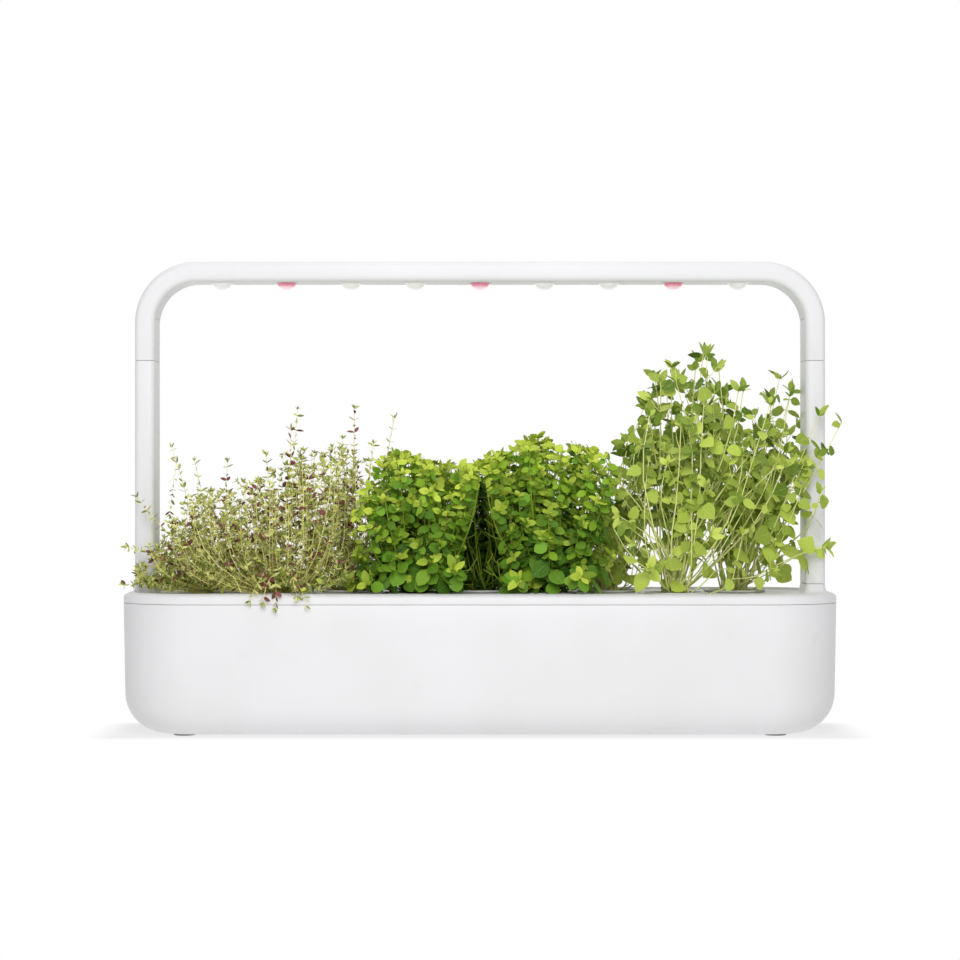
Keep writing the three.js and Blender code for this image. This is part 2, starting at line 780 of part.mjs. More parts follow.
// A plant: its lumps and sprigs, with one short stem that stands on the growing medium.
function plant(own, { height, crownShares, fullness }) {
  const outwards = own.y > 0 ? 1 : -1;
  const base = new THREE.Vector3(own.x, own.y, soilTopZ + seatGap);
  const fork = new THREE.Vector3(own.x, own.y, flangeTopZ + crownGap + stemRadius);
  const lumps = lumpShares.map(([x, y, width, tall], index) => {
    const centreX = own.x + x * plantSpread;
    const top = tall * crownHeightAt(centreX, height, crownShares);
    const centre = new THREE.Vector3(centreX, own.y + outwards * y * plantSpread, dishZ + top * lumpCentreShare);
    return lump(centre, width * fullness * plantSpread, top * (1 - lumpCentreShare), index);
  });
  const sprigs = (sprigShares[own.number] ?? []).map(([x, y, z], index) =>
    sprig(fork, own.x + x * plantSpread, own.y + outwards * y * plantSpread, dishZ + z * height, index));
  const crown = joined([...lumps, ...sprigs]).intersect(plantRoom(own, height));
  return mainSkin(crown.add(limb(base, fork.clone().setZ(fork.z + stemRadius), stemRadius, stemRadius)));
}

function herbOf(index) {
  const herbs = [
    { herb: 'thyme', height: thymeHeight, crownShares: thymeCrownShares, fullness: thymeFullnessShare },
    { herb: 'basil', height: basilHeight, crownShares: basilCrownShares, fullness: basilFullnessShare },
    { herb: 'oregano', height: oreganoHeight, crownShares: oreganoCrownShares, fullness: oreganoFullnessShare },
  ];
  return herbs[Math.floor((index * herbs.length) / plantCount)];
}

const garden = new THREE.Group();
garden.name = 'hydroponic_garden';

garden.add(named('water_tank', waterTank(), plastic));
footPlaces().forEach(([name, x, y]) => {
  garden.add(named(name, foot(x, y), rubber));
});

garden.add(named('planting_deck', plantingDeck(), plastic));
garden.add(named('power_inlet', powerInlet(), darkPlastic));
garden.add(named('timer_board', timerBoard(), timerBoardLook));
garden.add(named('board_tray', boardTray(), innerPlastic));
garden.add(named('float_guide', floatGuide(), innerPlastic));
garden.add(named('water_float', waterFloat(), darkPlastic));

[['left', -postX], ['right', postX]].forEach(([side, x]) => {
  garden.add(named(`${side}_arm`, arm(x), plastic));
  garden.add(named(`${side}_arm_plug`, contactPlug(x, armBottomZ), contactMetal));
  garden.add(named(`${side}_lamp_plug`, contactPlug(x, lampBottomZ), contactMetal));
});

garden.add(named('lamp_arch', lampArch(), plastic));
garden.add(named('led_cover', ledCover(), plastic));
garden.add(named('led_board', ledBoard(), circuitBoard));

plantPlaces().forEach((place, index) => {
  const { number, x, y } = place;
  const kind = herbOf(index);
  const leafLook = { thyme: thymeLeaf, basil: basilLeaf, oregano: oreganoLeaf }[kind.herb];
  const lensLook = number % 3 === 2 ? pinkLens : clearLens;
  garden.add(named(`lens_${number}`, lens(x), lensLook));
  garden.add(named(`plant_cup_${number}`, plantCup(x, y), innerPlastic));
  garden.add(named(`soil_pod_${number}`, soilPod(x, y), peat));
  garden.add(named(`${kind.herb}_${number}`, plant(place, kind), leafLook));
});

export default garden;
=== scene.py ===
# %% [markdown]
# # A countertop hydroponic garden
#
# The object is a white moulded water tank with a planting deck on it, nine herbs in their cups, and a lamp arch
# on two arms. Its working shapes come ready-made, as a frame of plain solids. This notebook gives each of them
# its finished shape and surface, at the same place, and sets up the camera and the light of a product picture.
#
# The frame comes first, because everything else is placed by it.

# %% Load the frame
import math
from collections import namedtuple
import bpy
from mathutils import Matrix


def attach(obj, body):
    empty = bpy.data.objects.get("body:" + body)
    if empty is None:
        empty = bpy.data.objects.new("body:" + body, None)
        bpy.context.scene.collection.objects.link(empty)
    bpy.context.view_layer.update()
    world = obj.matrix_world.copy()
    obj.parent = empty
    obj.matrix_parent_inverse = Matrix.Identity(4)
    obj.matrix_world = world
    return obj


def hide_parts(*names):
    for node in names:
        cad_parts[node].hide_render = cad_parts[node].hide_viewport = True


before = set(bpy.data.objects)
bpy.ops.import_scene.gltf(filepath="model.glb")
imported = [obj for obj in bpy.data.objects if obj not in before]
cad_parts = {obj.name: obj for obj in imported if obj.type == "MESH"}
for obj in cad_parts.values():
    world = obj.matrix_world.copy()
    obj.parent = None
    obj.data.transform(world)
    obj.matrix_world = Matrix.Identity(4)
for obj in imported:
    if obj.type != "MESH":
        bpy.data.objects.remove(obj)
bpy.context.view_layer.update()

from types import SimpleNamespace

import bmesh
import bpy
import numpy as np
from mathutils import Matrix, Vector, noise

MM = 0.001

# %% [markdown]
# ## The camera
#
# A product picture of a long, low object is taken from far away with a long lens, so that its sides stay
# parallel. The camera looks level, along +Y, from a height near the middle of the garden. A tilt would make
# the upright arms lean, so the picture is centred with a small lens shift instead.

# %% Camera
def added(name, data):
    """A new object in the scene, from its mesh, light or camera."""
    piece = bpy.data.objects.new(name, data)
    bpy.context.scene.collection.objects.link(piece)
    return piece


PICTURE_WIDTH, FOCAL_LENGTH, SHIFT_UP = 960, 2801, 10  # in pixels of the picture
EYE = (0, -2.3925, 0.2056)

camera_data = bpy.data.cameras.new("camera")
camera_data.sensor_width = 36
camera_data.lens = FOCAL_LENGTH / PICTURE_WIDTH * camera_data.sensor_width
camera_data.shift_y = SHIFT_UP / PICTURE_WIDTH
camera = added("camera", camera_data)
camera.location = EYE
camera.rotation_euler = (math.radians(90), 0, 0)
bpy.context.scene.camera = camera
bpy.context.scene.view_settings.view_transform = "Standard"
print("focal length:", round(camera_data.lens, 1), "mm")

# %% [markdown]
# ## Node recipes
#
# Shader maths is easier to read as a formula than as a chain of nodes. A `Socket` wraps one output of a node,
# and Python's own operators on it add Math nodes. Every other node comes from `Recipe.node`, which takes the
# node's type, its settings, and what goes into its sockets. A recipe can fill a material or the world.

# %% Sockets
def linear(red, green, blue):
    """A colour as a shader wants it, from the 0 to 255 that a paint program shows."""
    shares = [channel / 255 for channel in (red, green, blue)]
    return (*(c / 12.92 if c <= 0.04045 else ((c + 0.055) / 1.055) ** 2.4 for c in shares), 1)


def maths(operation, swapped=False):
    """A method that adds a Math node. The swapped one serves a socket on the right of an operator."""
    def method(self, *others):
        values = (*others, self) if swapped else (self, *others)
        return self.recipe.node("Math", {"operation": operation}, dict(enumerate(values)))
    return method


class Socket:
    def __init__(self, recipe, socket):
        self.recipe = recipe
        self.socket = socket

    __add__, __mul__ = maths("ADD"), maths("MULTIPLY")
    __sub__, __rsub__ = maths("SUBTRACT"), maths("SUBTRACT", swapped=True)
    __gt__, __lt__, __abs__ = maths("GREATER_THAN"), maths("LESS_THAN"), maths("ABSOLUTE")
    largest, floor, root = maths("MAXIMUM"), maths("FLOOR"), maths("SQRT")

    def ramp(self, low, high):
        """0 below the low value and 1 above the high one, with a smooth rise between them."""
        settings = {"interpolation_type": "SMOOTHSTEP"}
        return self.recipe.node("MapRange", settings, {"Value": self, "From Min": low, "From Max": high})


# %% Recipes
class Recipe:
    def __init__(self, owner):
        owner.use_nodes = True
        self.tree = owner.node_tree
        self.tree.nodes.clear()

    def node(self, kind, settings=None, sockets=None, output=0):
        made = self.tree.nodes.new("ShaderNode" + kind)
        for name, value in (settings or {}).items():
            setattr(made, name, value)
        for place, value in (sockets or {}).items():
            if isinstance(value, Socket):
                self.tree.links.new(value.socket, made.inputs[place])
            else:
                made.inputs[place].default_value = value
        return Socket(self, made.outputs[output]) if made.outputs else None

    def blend(self, factor, *colours):
        """Goes from the first colour to the second as the factor goes from 0 to 1."""
        first, second = (linear(*colour) if isinstance(colour, tuple) else colour for colour in colours)
        return self.node("Mix", {"data_type": "RGBA"}, {0: factor, 6: first, 7: second}, output=2)

    def place(self):
        """Where a point of the surface is on the object, in metres."""
        return self.node("TexCoord", output=3)

    def axes(self, vector):
        return [self.node("SeparateXYZ", sockets={0: vector}, output=i) for i in range(3)]

    def speckle(self, scale, detail, vector=None, roughness=0.5):
        sockets = {"Vector": vector or self.place(), "Scale": scale, "Detail": detail, "Roughness": roughness}
        return self.node("TexNoise", sockets=sockets)

    def bump(self, height, distance):
        return self.node("Bump", sockets={"Height": height, "Distance": distance, "Strength": 1})

    def finish(self, surface, target="OutputMaterial"):
        self.node(target, sockets={0: surface})

    def principled(self, sockets):
        self.finish(self.node("BsdfPrincipled", sockets=sockets))


def new_material(name):
    material = bpy.data.materials.new(name)
    return material, Recipe(material)


# %% [markdown]
# ## World, floor and lamps
#
# The object is white on white, so its form shows only through soft shading. A dim grey world fills all sides
# evenly and one broad lamp in front gives the front faces more light than the sides. Rays that come from the
# camera, or pass by way of glossy or clear surfaces, see pure white instead of the grey.
#
# The floor is a large plane. Near the object it shows the light and shadow that falls on it, and further out
# it turns into plain white, so the picture has no edge and only the soft shadow is left.

# %% World, floor and lamps
WORLD_GREY, FLOOR_GLOW = 0.32, 0.45
STAND_X, STAND_Y, FADE_WIDTH = 0.30, 0.06, 0.035
WHITE_AT_STAND = 0.66
LIT_PLACE = Vector((0, 0, 0.2))


def white_to_the_eye(recipe):
    """1 for the rays that look at the background, 0 for those that carry light."""
    direct, glossy, clear = (recipe.node("LightPath", output=f"Is {kind} Ray")
                             for kind in ("Camera", "Glossy", "Transmission"))
    return direct.largest(glossy.largest(clear))


world = bpy.data.worlds.new("studio")
bpy.context.scene.world = world
sky = Recipe(world)
brightness = white_to_the_eye(sky) * (1 - WORLD_GREY) + WORLD_GREY
background = sky.node("Background", sockets={"Color": (1, 1, 1, 1), "Strength": brightness})
sky.finish(background, "OutputWorld")

floor_material, ground = new_material("studio_floor")
across, along, _ = ground.axes(ground.place())
beyond_x = (abs(across) - STAND_X).largest(0)
beyond_y = (abs(along) - STAND_Y).largest(0)
fade = (beyond_x * beyond_x + beyond_y * beyond_y).root().ramp(0, FADE_WIDTH)
matt = ground.node("BsdfDiffuse", sockets={"Color": (0.9, 0.9, 0.9, 1)})
plain = ground.node("Emission", sockets={"Color": (1, 1, 1, 1), "Strength": 1})
to_eye = white_to_the_eye(ground)
white = to_eye * (fade * (1 - WHITE_AT_STAND) + WHITE_AT_STAND) + (1 - to_eye) * FLOOR_GLOW
ground.finish(ground.node("MixShader", sockets={0: white, 1: matt, 2: plain}))

floor_mesh = bpy.data.meshes.new("floor")
sheet = bmesh.new()
bmesh.ops.create_grid(sheet, x_segments=1, y_segments=1, size=6)
sheet.to_mesh(floor_mesh)
sheet.free()
floor_mesh.materials.append(floor_material)
floor = added("floor", floor_mesh)


def lamp(name, size, watts, place):
    light = bpy.data.lights.new(name, "AREA")
    light.shape = "RECTANGLE"
    light.size, light.size_y = size
    light.energy = watts
    piece = added(name, light)
    piece.location = place
    piece.rotation_euler = (LIT_PLACE - Vector(place)).to_track_quat("-Z", "Y").to_euler()


lamp("front_lamp", (0.6, 0.9), 12.6, (0.0, -1.5, 0.85))
lamp("top_lamp", (1.0, 1.2), 9, (0.0, 0.2, 1.9))
print("lamps:", [light.name for light in bpy.data.lights])

# %% [markdown]
# ## Moulded plastic
#
# Injection-moulded plastic is never one flat colour. The mould has a fine sandblasted grain, the gloss changes
# a little where hands rub it, and faint clouds run through the pigment. All of that comes from noise at three
# scales, from clouds as long as a hand, through polish in centimetres, down to grain finer than a millimetre.

# %% Plastic finishes
def plastic(name, colour, shade, gloss, grain):
    """A moulded plastic, with its darker colour for clouds and the lower part, its roughness and its grain depth."""
    material, recipe = new_material(name)
    clouds = recipe.speckle(9, 3)
    polish = recipe.speckle(60, 4, roughness=0.6)
    sand = recipe.speckle(2600, 1)
    height = recipe.axes(recipe.place())[2]
    # darker towards the bottom, over the lowest 5 cm
    low_darkening = (1 - height.ramp(0.0, 0.05)) * 0.35
    darkening = clouds.ramp(0.35, 0.75) * 0.45 + polish.ramp(0.55, 0.8) * 0.2 + low_darkening
    recipe.principled({
        "Base Color": recipe.blend(darkening, colour, shade),
        "Roughness": polish * 0.12 + sand * 0.06 + (gloss - 0.09),
        "Normal": recipe.bump(sand + clouds * 2, grain * MM),
        "IOR": 1.49,
        "Specular IOR Level": 0.18,
    })
    return material


white_plastic = plastic("white_plastic", (242, 241, 243), (233, 232, 233), 0.36, 0.010)
lamp_white_plastic = plastic("lamp_white_plastic", (242, 242, 244), (235, 235, 237), 0.32, 0.008)
cup_plastic = plastic("cup_plastic", (233, 233, 231), (220, 220, 216), 0.48, 0.015)
charcoal_plastic = plastic("charcoal_plastic", (38, 38, 40), (54, 54, 55), 0.46, 0.025)
float_foam = plastic("float_foam", (52, 53, 55), (70, 70, 70), 0.62, 0.04)
foot_rubber = plastic("foot_rubber", (158, 158, 155), (140, 139, 135), 0.86, 0.05)
print("plastics:", [m.name for m in bpy.data.materials if m.name.split("_")[-1] in ("plastic", "foam", "rubber")])

# %% [markdown]
# ## Modelling helpers
#
# Every housing here is a plan outline, a rectangle with round corners, that goes in and up step by step: up a
# wall, round an edge, down into a dish. `plate` makes the outline as one face by rounding the corners of a
# grid's only face with a vertex bevel. `climb` insets that face again and again and moves it up or down after
# each inset, so that the rings stay parallel, which a plain scale wouldn't do. Turned pieces are half profiles
# that are spun round, and holes are cut with a Boolean modifier, whose result is kept as the mesh.
#
# All these helpers take millimetres.

# %% Plates, steps and turned shapes
SHARP_ANGLE = math.radians(50)


def moved(shape, place):
    bmesh.ops.translate(shape, vec=Vector(place) * MM, verts=shape.verts)
    return shape


def first_face(items):
    return next(item for item in items if isinstance(item, bmesh.types.BMFace))


def plate(half_x, half_y, radius, corner_steps, centre):
    """A mesh of one level face, a rectangle with round corners."""
    shape = bmesh.new()
    bmesh.ops.create_grid(shape, x_segments=1, y_segments=1, size=1)
    bmesh.ops.scale(shape, vec=(half_x * MM, half_y * MM, 1), verts=shape.verts)
    bmesh.ops.bevel(shape, geom=shape.verts[:], offset=radius * MM, segments=corner_steps,
                    affect="VERTICES", profile=0.5, material=-1)
    return moved(shape, centre)


def climb(shape, face, steps):
    """Moves a face inwards and upwards, one ring per step, and returns the face at the end."""
    for inwards, upwards in steps:
        if inwards:
            bmesh.ops.inset_region(shape, faces=[face], thickness=inwards * MM, depth=0,
                                   use_even_offset=True, use_boundary=True)
        else:
            face = bmesh.ops.extrude_discrete_faces(shape, faces=[face])["faces"][0]
        bmesh.ops.translate(shape, vec=(0, 0, upwards * MM), verts=face.verts)
    return face


def slab(shape, height):
    """Gives a plate a thickness, and returns its bottom face and its top face."""
    bottom = shape.faces[:][0]
    top = first_face(bmesh.ops.extrude_face_region(shape, geom=[bottom])["geom"])
    bmesh.ops.translate(shape, vec=(0, 0, height * MM), verts=top.verts)
    bmesh.ops.recalc_face_normals(shape, faces=shape.faces[:])
    return bottom, top


def quarter_round(width, height, steps, hollow=False):
    """The steps over a rounded edge. A hollow one starts level and ends upright, like a flare. A height below
    zero leads downwards."""
    angles = [math.pi / 2 * i / steps for i in range(steps + 1)]
    across = [width * (math.sin(a) if hollow else 1 - math.cos(a)) for a in angles]
    up = [height * (1 - math.cos(a) if hollow else math.sin(a)) for a in angles]
    return [(across[i + 1] - across[i], up[i + 1] - up[i]) for i in range(steps)]


# %% Turned shapes, blocks and rounded edges
def turned(profile, sides=48, centre=(0, 0, 0)):
    """Spins a profile of (radius, height) round an upright axis. One that keeps off the axis makes a ring."""
    shape = bmesh.new()
    points = [shape.verts.new((radius * MM, 0, height * MM)) for radius, height in profile]
    edges = [shape.edges.new(pair) for pair in zip(points, points[1:])]
    if profile[0][0]:
        edges.append(shape.edges.new((points[-1], points[0])))
    bmesh.ops.spin(shape, geom=points + edges, cent=(0, 0, 0), axis=(0, 0, 1), angle=2 * math.pi, steps=sides,
                   use_merge=True)
    bmesh.ops.remove_doubles(shape, verts=shape.verts[:], dist=0.001 * MM)
    bmesh.ops.recalc_face_normals(shape, faces=shape.faces[:])
    return moved(shape, centre)


def cylinder(radius, bottom, top, sides, x=0, y=0):
    return turned([(0, bottom), (radius, bottom), (radius, top), (0, top)], sides, (x, y, 0))


def block(x0, x1, y0, y1, z0, z1):
    shape = bmesh.new()
    bmesh.ops.create_cube(shape, size=MM)
    bmesh.ops.scale(shape, vec=(x1 - x0, y1 - y0, z1 - z0), verts=shape.verts)
    return moved(shape, ((x0 + x1) / 2, (y0 + y1) / 2, (z0 + z1) / 2))


def sliced(shape, heights):
    """Cuts level rings of edges into a shape, at heights that are in the shape's own unit."""
    for height in heights:
        bmesh.ops.bisect_plane(shape, geom=shape.verts[:] + shape.edges[:] + shape.faces[:],
                               plane_co=(0, 0, height), plane_no=(0, 0, 1))


def gathered(shapes):
    """Several separate shapes as one."""
    whole = bmesh.new()
    for shape in shapes:
        mesh = bpy.data.meshes.new("gathered")
        shape.to_mesh(mesh)
        shape.free()
        whole.from_mesh(mesh)
        bpy.data.meshes.remove(mesh)
    return whole


def soften(shape, width, segments=2, where=lambda edge: True):
    """Rounds the sharp edges."""
    sharp = [edge for edge in shape.edges
             if len(edge.link_faces) == 2 and edge.calc_face_angle() > SHARP_ANGLE and where(edge)]
    bmesh.ops.bevel(shape, geom=sharp, offset=width * MM, segments=segments, affect="EDGES", profile=0.5,
                    material=-1)


# %% Objects, cuts and smooth shading
def placed(name, shape):
    mesh = bpy.data.meshes.new(name)
    shape.to_mesh(mesh)
    shape.free()
    return added(name, mesh)


def applied(piece):
    """Keeps what a piece's modifiers make as its mesh."""
    bpy.context.view_layer.update()
    evaluated = piece.evaluated_get(bpy.context.evaluated_depsgraph_get())
    mesh = bpy.data.meshes.new_from_object(evaluated)
    piece.modifiers.clear()
    piece.data = mesh


def cut(piece, shapes, operation="DIFFERENCE"):
    """Cuts shapes out of a piece, or joins them on."""
    tool = placed("tool", gathered(shapes))
    modifier = piece.modifiers.new("cut", "BOOLEAN")
    modifier.operation = operation
    modifier.solver = "EXACT"
    modifier.object = tool
    applied(piece)
    bpy.data.objects.remove(tool)


def dress(piece, body, slot, material, *nodes, sharp=32):
    """Shades a piece smoothly up to an angle, gives it its finish and its body, and hides the nodes it stands for."""
    mesh = piece.data
    mesh.polygons.foreach_set("use_smooth", [True] * len(mesh.polygons))
    mesh.set_sharp_from_angle(angle=math.radians(sharp))
    mesh.materials.clear()
    mesh.materials.append(material)
    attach(piece, body)
    if nodes:
        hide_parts(*nodes)


def tell(name, piece):
    print(f"{name}:", len(piece.data.polygons), "faces", [round(v, 4) for v in piece.dimensions])


# %% [markdown]
# ## The water tank
#
# The tank is one moulding, open at the top. Its ends are rounder than its corners need to be, so that the whole
# front reads as one soft wall, and a large rounding turns that wall into the floor. It could be a subdivided
# cube, but a subdivision surface has no exact radius. Here the top outline is stepped down the wall and round
# to the floor, and the skin then gets its wall thickness from a Solidify modifier, which keeps it even.

# %% Water tank
BASE_HALF_LENGTH, BASE_HALF_DEPTH, BASE_CORNER = 300, 92.5, 62
TANK_TOP, TANK_FLOOR, TANK_TAPER, TANK_ROUNDING, TANK_WALL = 111, 2, 2, 33, 3
HOLE_PLACES = {n: ((n - 5) * 55, 30 if n % 2 else -30) for n in range(1, 10)}
FOOT_PLACES = {f"{end}_{side}": (x, y) for side, x in (("left", -248), ("right", 248))
               for end, y in (("front", -40.5), ("back", 40.5))}
WALL_STEPS, ROUNDING_STEPS = 4, 12

skin = plate(BASE_HALF_LENGTH, BASE_HALF_DEPTH, BASE_CORNER, 20, (0, 0, TANK_TOP))
bmesh.ops.reverse_faces(skin, faces=skin.faces[:])
wall_height = TANK_TOP - TANK_FLOOR - TANK_ROUNDING
taper = TANK_TAPER * wall_height / (TANK_TOP - TANK_FLOOR)
wall_steps = [(taper / WALL_STEPS, -wall_height / WALL_STEPS)] * WALL_STEPS
floor_round = [(inwards + (TANK_TAPER - taper) / ROUNDING_STEPS, upwards)
               for inwards, upwards in quarter_round(TANK_ROUNDING, -TANK_ROUNDING, ROUNDING_STEPS)]
climb(skin, skin.faces[:][0], wall_steps + floor_round)

tank = placed("water_tank_shell", skin)
wall = tank.modifiers.new("wall", "SOLIDIFY")
wall.thickness = TANK_WALL * MM
wall.offset = -1
wall.use_even_offset = True
applied(tank)
skin = bmesh.new()
skin.from_mesh(tank.data)
soften(skin, 0.45, where=lambda edge: min(v.co.z for v in edge.verts) > (TANK_TOP - 0.1) * MM)
skin.to_mesh(tank.data)
skin.free()

recesses = [cylinder(9.3, 1, 3.2, 40, x, y) for x, y in FOOT_PLACES.values()]
inlet_notch = block(-176.4, -153.6, 86, 94, 93.6, 112.5)
cut(tank, [*recesses, inlet_notch])
dress(tank, "tank", "base_plastic", white_plastic, "water_tank")
tell("tank", tank)

# %% [markdown]
# ## The feet
#
# Four soft rubber discs keep the tank off the table. Each is pressed into its recess and has a chamfer where
# it touches the table, with a shallow hollow in its underside that lets it grip.

# %% Feet
FOOT_PROFILE = [(0, 0.5), (5.6, 0.5), (6.2, 0), (8.2, 0), (8.8, 0.3), (9, 0.8), (9, 2.9), (0, 2.9)]
for corner, (x, y) in FOOT_PLACES.items():
    foot = placed(f"rubber_foot_{corner}", turned(FOOT_PROFILE, 40, (x, y, 0)))
    dress(foot, "tank", "foot_rubber", foot_rubber, f"foot_{corner}")
print("feet:", len(FOOT_PLACES))

# %% [markdown]
# ## The planting deck
#
# The deck is a lid with a shallow dish in its top for the nine cups. Its rim stands on the tank's wall, a lip
# below the rim locates it inside, and a collar flares out of each end to hold an arm. The rim, ridge and dish
# are steps of one outline. The collars are outlines of their own, joined on, and then everything that goes
# through the deck is cut out: nine holes, the float's hole, the sockets of the arms, the bores of their
# contact plugs and the bore of the power inlet.
#
# The cutters carry the small chamfers of the holes' edges, because a bevel after a cut often fails where new
# edges meet.

# %% Planting deck
RIM_BOTTOM, RIM_SHOULDER, DECK_TOP = 111.3, 115.7, 120
DISH, DISH_UNDERSIDE, LIP_BOTTOM = 117.7, 115.2, 105
UNDER_EDGE = 0.5
POST_X, POST_HALF, POST_HALF_DEPTH, POST_CORNER = 284, 8.5, 22.5, 5
SPIGOT, SOCKET_INSET, SOCKET_ROOM = 14, 2.6, 0.3
COLLAR_TOP, COLLAR_FOOT, COLLAR_SPREAD, BOSS_BOTTOM = 126, 115.35, 7.4, 101.4
PLUG_BORE, FLOAT_Y = 2.15, -58.5
SIDES = {"left": -POST_X, "right": POST_X}
INLET_PLACE = (-165, 91.9, 102.65)

lid = plate(BASE_HALF_LENGTH, BASE_HALF_DEPTH, BASE_CORNER, 20, (0, 0, RIM_BOTTOM + UNDER_EDGE))
under, over = slab(lid, RIM_SHOULDER - RIM_BOTTOM - UNDER_EDGE)
climb(lid, over, [*quarter_round(8, DECK_TOP - RIM_SHOULDER, 10), (1, 0), (0.6, -0.25), (0.9, -1.6), (0.6, -0.45)])
climb(lid, under, [*quarter_round(UNDER_EDGE, -UNDER_EDGE, 3), (2.9, 0), (0, LIP_BOTTOM - RIM_BOTTOM), (2, 0),
                   (0, DISH_UNDERSIDE - LIP_BOTTOM)])
deck = placed("planting_deck_shell", lid)


def collar(x):
    """The flare over the rim, and the boss under the deck that holds the arm's spigot."""
    shape = plate(POST_HALF + COLLAR_SPREAD, POST_HALF_DEPTH + COLLAR_SPREAD, POST_CORNER + COLLAR_SPREAD, 8,
                  (x, 0, COLLAR_FOOT))
    below, above = slab(shape, RIM_SHOULDER - COLLAR_FOOT)
    climb(shape, above, quarter_round(COLLAR_SPREAD, COLLAR_TOP - RIM_SHOULDER, 10, hollow=True))
    climb(shape, below, [(COLLAR_SPREAD, 0), (0, BOSS_BOTTOM - COLLAR_FOOT)])
    return shape


tongue = block(-176, -154, 86.6, 91.9, 94, RIM_SHOULDER - 0.4)
soften(tongue, 0.5)
cut(deck, [collar(x) for x in SIDES.values()], "UNION")
cut(deck, [tongue], "UNION")
tell("deck without its holes", deck)


# %% Holes of the deck
def through(radius, chamfer, centre):
    """A cutter for a round hole in the dish, with a small chamfer at its edge."""
    bottom, wide = 112, radius + chamfer
    profile = [(0, bottom), (radius, bottom), (radius, DISH - chamfer), (wide, DISH), (wide, DISH + 3), (0, DISH + 3)]
    return turned(profile, 64, (*centre, 0))


def socket_cutter(x):
    """The space for a spigot, with a chamfered mouth."""
    chamfer = 0.4
    shape = plate(POST_HALF - SOCKET_INSET, POST_HALF_DEPTH - SOCKET_INSET, POST_CORNER - SOCKET_INSET, 5,
                  (x, 0, COLLAR_TOP - SPIGOT - SOCKET_ROOM))
    _, upper = slab(shape, SPIGOT + SOCKET_ROOM - chamfer)
    climb(shape, upper, [(-chamfer, chamfer), (0, 2)])
    return shape


def facing_back(shape):
    """Lays a shape that was spun upright into the inlet's place, with its top to the front."""
    bmesh.ops.rotate(shape, matrix=Matrix.Rotation(math.radians(90), 3, "X"), verts=shape.verts)
    return moved(shape, INLET_PLACE)


cut(deck, [*(through(24, 0.5, centre) for centre in HOLE_PLACES.values()), through(6.4, 0.4, (0, FLOAT_Y))])
cut(deck, [socket_cutter(x) for x in SIDES.values()])
plug_bores = [cylinder(PLUG_BORE, 103.4, 112.5, 24, x) for x in SIDES.values()]
cut(deck, [*plug_bores, facing_back(cylinder(5.8, -1, 12.5, 40))])
dress(deck, "deck", "base_plastic", white_plastic, "planting_deck")
tell("deck", deck)

# %% [markdown]
# ## The arms
#
# Each arm is a straight hollow extrusion, deeper than it is wide. Its lower end steps in to a spigot that
# plugs into the deck's collar, and its upper end is a socket for the lamp. The seams where the parts meet are
# a main feature of the picture, so each end gets a fine rounding that catches a thin line of shade.

# %% Arms and their contact plugs
ARM_BOTTOM, ARM_TOP, LAMP_BOTTOM = 126.3, 315, 315.3
SEAM_ROUND, SPIGOT_INSET = 0.45, 3


def spigot_steps():
    """From a post's end down its spigot: the seam's rounding, the shoulder, the side and the lead-in."""
    return [*quarter_round(SEAM_ROUND, -SEAM_ROUND, 3), (SPIGOT_INSET - SEAM_ROUND, 0), (0, -(SPIGOT - 0.9)),
            (0.3, -0.5), (0.5, -0.4)]


def plug_seat(x, shoulder):
    """The cutter for the plug's seat in a spigot's end."""
    return cylinder(3.3, shoulder - SPIGOT - 1, shoulder - SPIGOT + 3.3, 24, x)


def contact_plug(part, side, shoulder, body):
    end = shoulder - SPIGOT
    profile = [(0, end - 8), (0.9, end - 8), (1.5, end - 7.5), (1.75, end - 6.8), (1.75, end - 5), (1.5, end - 4.8),
               (1.5, end - 4.2), (1.75, end - 4), (1.75, end - 0.2), (2.7, end), (3, end + 0.3), (3, end + 3),
               (0, end + 3)]
    plug = placed(f"{side}_{part}_contact", turned(profile, 32, (SIDES[side], 0, 0)))
    dress(plug, body, "contact_metal", contact_brass, f"{side}_{part}_plug")


contact_brass, metal = new_material("contact_brass")
scratches = metal.speckle(900, 3, roughness=0.7)
tarnish = metal.speckle(240, 3)
metal.principled({
    "Base Color": metal.blend(tarnish.ramp(0.4, 0.7), (214, 184, 112), (176, 142, 82)),
    "Metallic": 1,
    "Roughness": scratches * 0.22 + 0.18,
    "Normal": metal.bump(scratches, 0.01 * MM),
})

for side, x in SIDES.items():
    post = plate(POST_HALF, POST_HALF_DEPTH, POST_CORNER, 8, (x, 0, ARM_BOTTOM + SEAM_ROUND))
    below, above = slab(post, ARM_TOP - ARM_BOTTOM - 2 * SEAM_ROUND)
    climb(post, below, spigot_steps())
    climb(post, above, [*quarter_round(SEAM_ROUND, SEAM_ROUND, 3), (SOCKET_INSET - SEAM_ROUND, 0),
                        (0, -SPIGOT - SOCKET_ROOM)])
    arm = placed(f"{side}_arm_post", post)
    bore_bottom = ARM_TOP - SPIGOT - SOCKET_ROOM - 8.3
    cut(arm, [cylinder(PLUG_BORE, bore_bottom, bore_bottom + 9, 24, x), plug_seat(x, ARM_BOTTOM)])
    dress(arm, "arms", "lamp_plastic", lamp_white_plastic, f"{side}_arm")
    contact_plug("arm", side, ARM_BOTTOM, "arms")
    contact_plug("lamp", side, LAMP_BOTTOM, "lamp")
    tell(f"{side} arm", arm)

# %% [markdown]
# ## The lamp arch
#
# The arch is the arm's own outline swept up one leg, round a quarter bend, along the top and down again. A
# curve with a bevel profile would do it too, but a spin keeps the section exactly upright in the legs and
# leaves real end faces, which the spigots can grow from. A shallow channel under the top holds the lights, and
# a wider seat in the inner side, from bend to bend, holds their cover.

